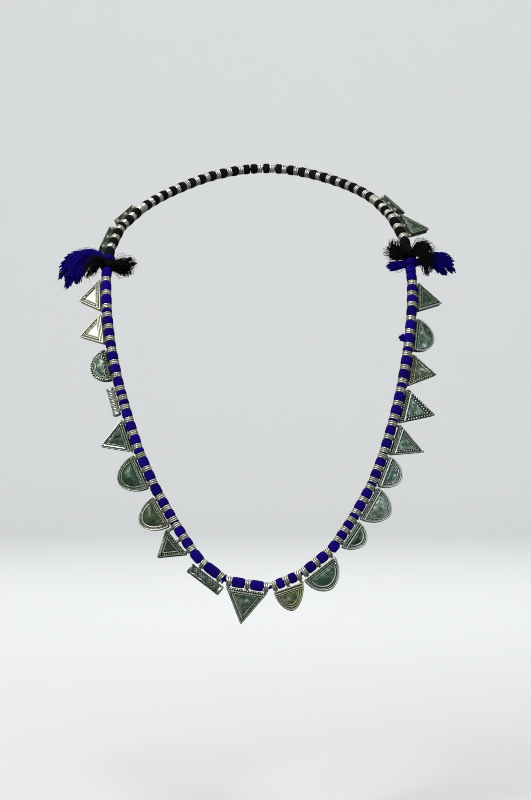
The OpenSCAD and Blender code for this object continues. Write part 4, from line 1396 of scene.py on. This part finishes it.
def lock_line(middle_of_head, out, lock):
    """A smooth line through a lock's start on the head, its bend and its end."""
    bow, end = on_chest(lock[0], lock[1], lock[4]), on_chest(lock[2], lock[3], lock[4])
    start = unit(bow - out * (bow @ out)) * (HEAD_R - LOCK_R)
    share = np.linspace(0, 1, LOCK_POINTS)[:, None]
    pull = 2 * bow - (start + end) / 2
    return middle_of_head + (1 - share) ** 2 * start + 2 * share * (1 - share) * pull + share**2 * end


print({name: len(rows) for name, rows in LOCKS.items()}, "locks")

# %% [markdown]
# Each tassel is its head, wound like a large flat bead, its locks of strands and a few hairs that stand
# off. Black thread frays more than the blue: it has more, thinner and shorter strands that fan out wider.

# %% Make the tassels
# `fan` is the half width of a lock at its start, at two fifths of its length and at its end
Fray = namedtuple("Fray", "finish slot strands stray radius shortest hair_stray fan")
FRAYS = {
    "blue": Fray(INDIGO, "blue_thread", 70, 1.2, 0.25, 0.75, 2, (1.5, 2.6, 3.4)),
    "black": Fray(BLACK, "black_thread", 130, 2.4, 0.17, 0.4, 3.8, (1.6, 4, 6)),
}


def make_tassel(node, seed):
    fray = FRAYS["black" if "black" in node else "blue"]
    start, end = head_ends(*KNOTS[node])
    head_line = line_mesh([np.linspace(start, end, 4)], thick=HEAD_R * MM)
    head = grow(WOUND_THREAD, head_line, Finish=fray.finish, Bulge=0.22)
    lines = [lock_line((start + end) / 2, unit(end - start), lock) for lock in LOCKS[node]]
    fan = np.interp(np.linspace(0, 1, LOCK_POINTS), [0, 0.4, 1], fray.fan) * MM
    locks = grow(LOOSE_STRANDS, line_mesh(lines, thick=[fan] * len(lines)), Finish=fray.finish,
                 Strands=fray.strands, Seed=seed, Stray=fray.stray * MM, Radius=fray.radius * MM,
                 Shortest=fray.shortest)
    # A few thin hairs stand off half as far again.
    hairs = grow(LOOSE_STRANDS, line_mesh(lines, thick=[fan * 1.5] * len(lines)), Finish=fray.finish,
                 Strands=24, Seed=seed + 9, Stray=fray.hair_stray * MM, Radius=0.09 * MM, Shortest=0.5,
                 Sides=3)
    return stand_for(node, fray.slot, node + "_strands", [head, locks, hairs])


tassels = [make_tassel(node, seed) for seed, node in enumerate(LOCKS, start=20)]
print("faces of the tassels:", [len(piece.data.polygons) for piece in tassels])

# %% [markdown]
# One bead on the right has frayed: a tuft of its thread stands out sideways, paler than the bead, because
# its fibres have opened. The tree for loose strands makes it too.

# %% The frayed bead
FRAYED_BEAD = 195.6  # place on the string, between two rings of a half moon
tuft_way = unit([-1, -0.3, 0.15])  # to the viewer's left and forward
tuft_line = np.array([at(FRAYED_BEAD) + tuft_way * reach for reach in np.linspace(1.5, 6.4, 6)])
tuft_mesh = line_mesh([tuft_line], thick=[np.linspace(2.3, 2.1, len(tuft_line)) * MM])
tuft = grow(LOOSE_STRANDS, tuft_mesh, Finish=INDIGO, Strands=90, Seed=31, Stray=1.2 * MM, Radius=0.2 * MM,
            Shortest=0.6)
mark(tuft.data, tone=1.0)
tuft = join_parts("frayed_bead_tuft", [tuft])
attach(tuft, "string")
print("the tuft stands out", round(float(np.linalg.norm(tuft_line[-1] - at(FRAYED_BEAD)) - BEAD_R), 1), "mm")

# %% [markdown]
# ## Floor, light and camera
#
# The necklace keeps the shape that it has on a wearer, so it stands in the air over a plain pale floor that
# sweeps up behind and beside it, far enough away for a camera on any side.

# %% Pale sweep
FLOOR_Z, FLOOR_R, BEND_R, WALL_TOP = -0.4, 3.4, 1.2, 4  # metres
AROUND = 96  # points in a circle


def sweep():
    """A round floor that curves up into a wall behind and beside the necklace, in metres."""
    flat = [(FLOOR_R * k / 6, 0) for k in range(1, 7)]
    turn = np.linspace(0, math.pi / 2, 17)[1:]
    bend = [(FLOOR_R + BEND_R * math.sin(t), BEND_R - BEND_R * math.cos(t)) for t in turn]
    section = [*flat, *bend, (FLOOR_R + BEND_R, WALL_TOP - FLOOR_Z)]
    angles = [math.tau * j / AROUND for j in range(AROUND)]
    # 1 behind and beside the necklace, 0 in front of it, where the floor stays open
    rises = [min(1, max(0, 2.5 * math.sin(angle) + 1.6)) for angle in angles]
    points = [(r * math.cos(angle), r * math.sin(angle), FLOOR_Z + z * rise)
              for r, z in section for angle, rise in zip(angles, rises)]
    faces = band_faces([(k + 1, k) for k in range(len(section) - 1)], AROUND)
    faces += [(j, (j + 1) % AROUND, len(points)) for j in range(AROUND)]
    return points + [(0, 0, FLOOR_Z)], faces


paper = bpy.data.materials.new("matt_paper_backdrop")
paper.use_nodes = True
feed(paper.node_tree, paper.node_tree.nodes["Principled BSDF"], {
    "Base Color": linear("d8d9da"), "Roughness": 0.9})
floor = add_object("pale_sweep", face_mesh("pale_sweep", *sweep(), paper))
# The silver in the photo stands in a dark room, so the pale floor is kept out of what the silver mirrors.
floor.visible_glossy = False
print("the floor is", -FLOOR_Z, "m below the nape, and the wall", FLOOR_R + BEND_R, "m behind it")

# %% [markdown]
# Silver shows only what it mirrors. Soft lamps at the upper left make the long highlights, a weaker one on
# the right fills in, and one more lights the wall. The room stays a dim grey and the floor is kept out of
# the mirrored picture, so that the grooves read dark.

# %% Lamps
AIM = (0, -0.1, -0.15)
# name, place, what it looks at, size in metres, watts, colour
LAMPS = [
    ("key", (-1.1, -0.1, 0.68), AIM, 1, 5.5, "fffaf0"),
    ("front", (-0.25, -0.95, 1.15), AIM, 0.45, 15, "ffffff"),
    ("spark", (-0.95, -1.15, 0.6), AIM, 0.5, 8, "ffffff"),
    ("fill", (1.3, -1.0, 0.2), AIM, 0.6, 5.5, "f2f6ff"),
    ("wall", (0, 1.2, 2.4), (0, 4.4, -0.2), 2, 112, "ffffff"),
]
for name, place, target, size, watts, colour in LAMPS:
    lamp = bpy.data.lights.new(name, "AREA")
    lamp.size, lamp.energy, lamp.color = size, watts, linear(colour)[:3]
    made = add_object(name, lamp)
    made.location = place
    made.rotation_euler = (Vector(target) - Vector(place)).to_track_quat("-Z", "Y").to_euler()
world = bpy.data.worlds.new("dim_room")
bpy.context.scene.world = world
world.use_nodes = True
feed(world.node_tree, world.node_tree.nodes["Background"], {"Color": linear("5c6a62"), "Strength": 0.35})
print(len(LAMPS), "soft lamps and a grey room")

# %% [markdown]
# The photo looks level at the necklace, and its far rings are nearly as large as its near ones, as they are
# through a long lens. The camera does the same.

# %% Camera
lens = bpy.data.cameras.new("camera")
lens.lens, lens.sensor_width = 120, 36
camera = add_object("camera", lens)
camera.location = (0, -1.7, -0.148)
camera.rotation_euler = (math.radians(90), 0, 0)
scene = bpy.context.scene
scene.camera = camera
scene.view_settings.view_transform = "Standard"
# The trim is only a pixel or two wide, so the picture stays crisp.
scene.cycles.use_denoising = True
scene.cycles.denoising_prefilter = "NONE"
scene.cycles.filter_width = 1.0
print("camera 1.6 m in front of the string, level with the middle of the necklace")
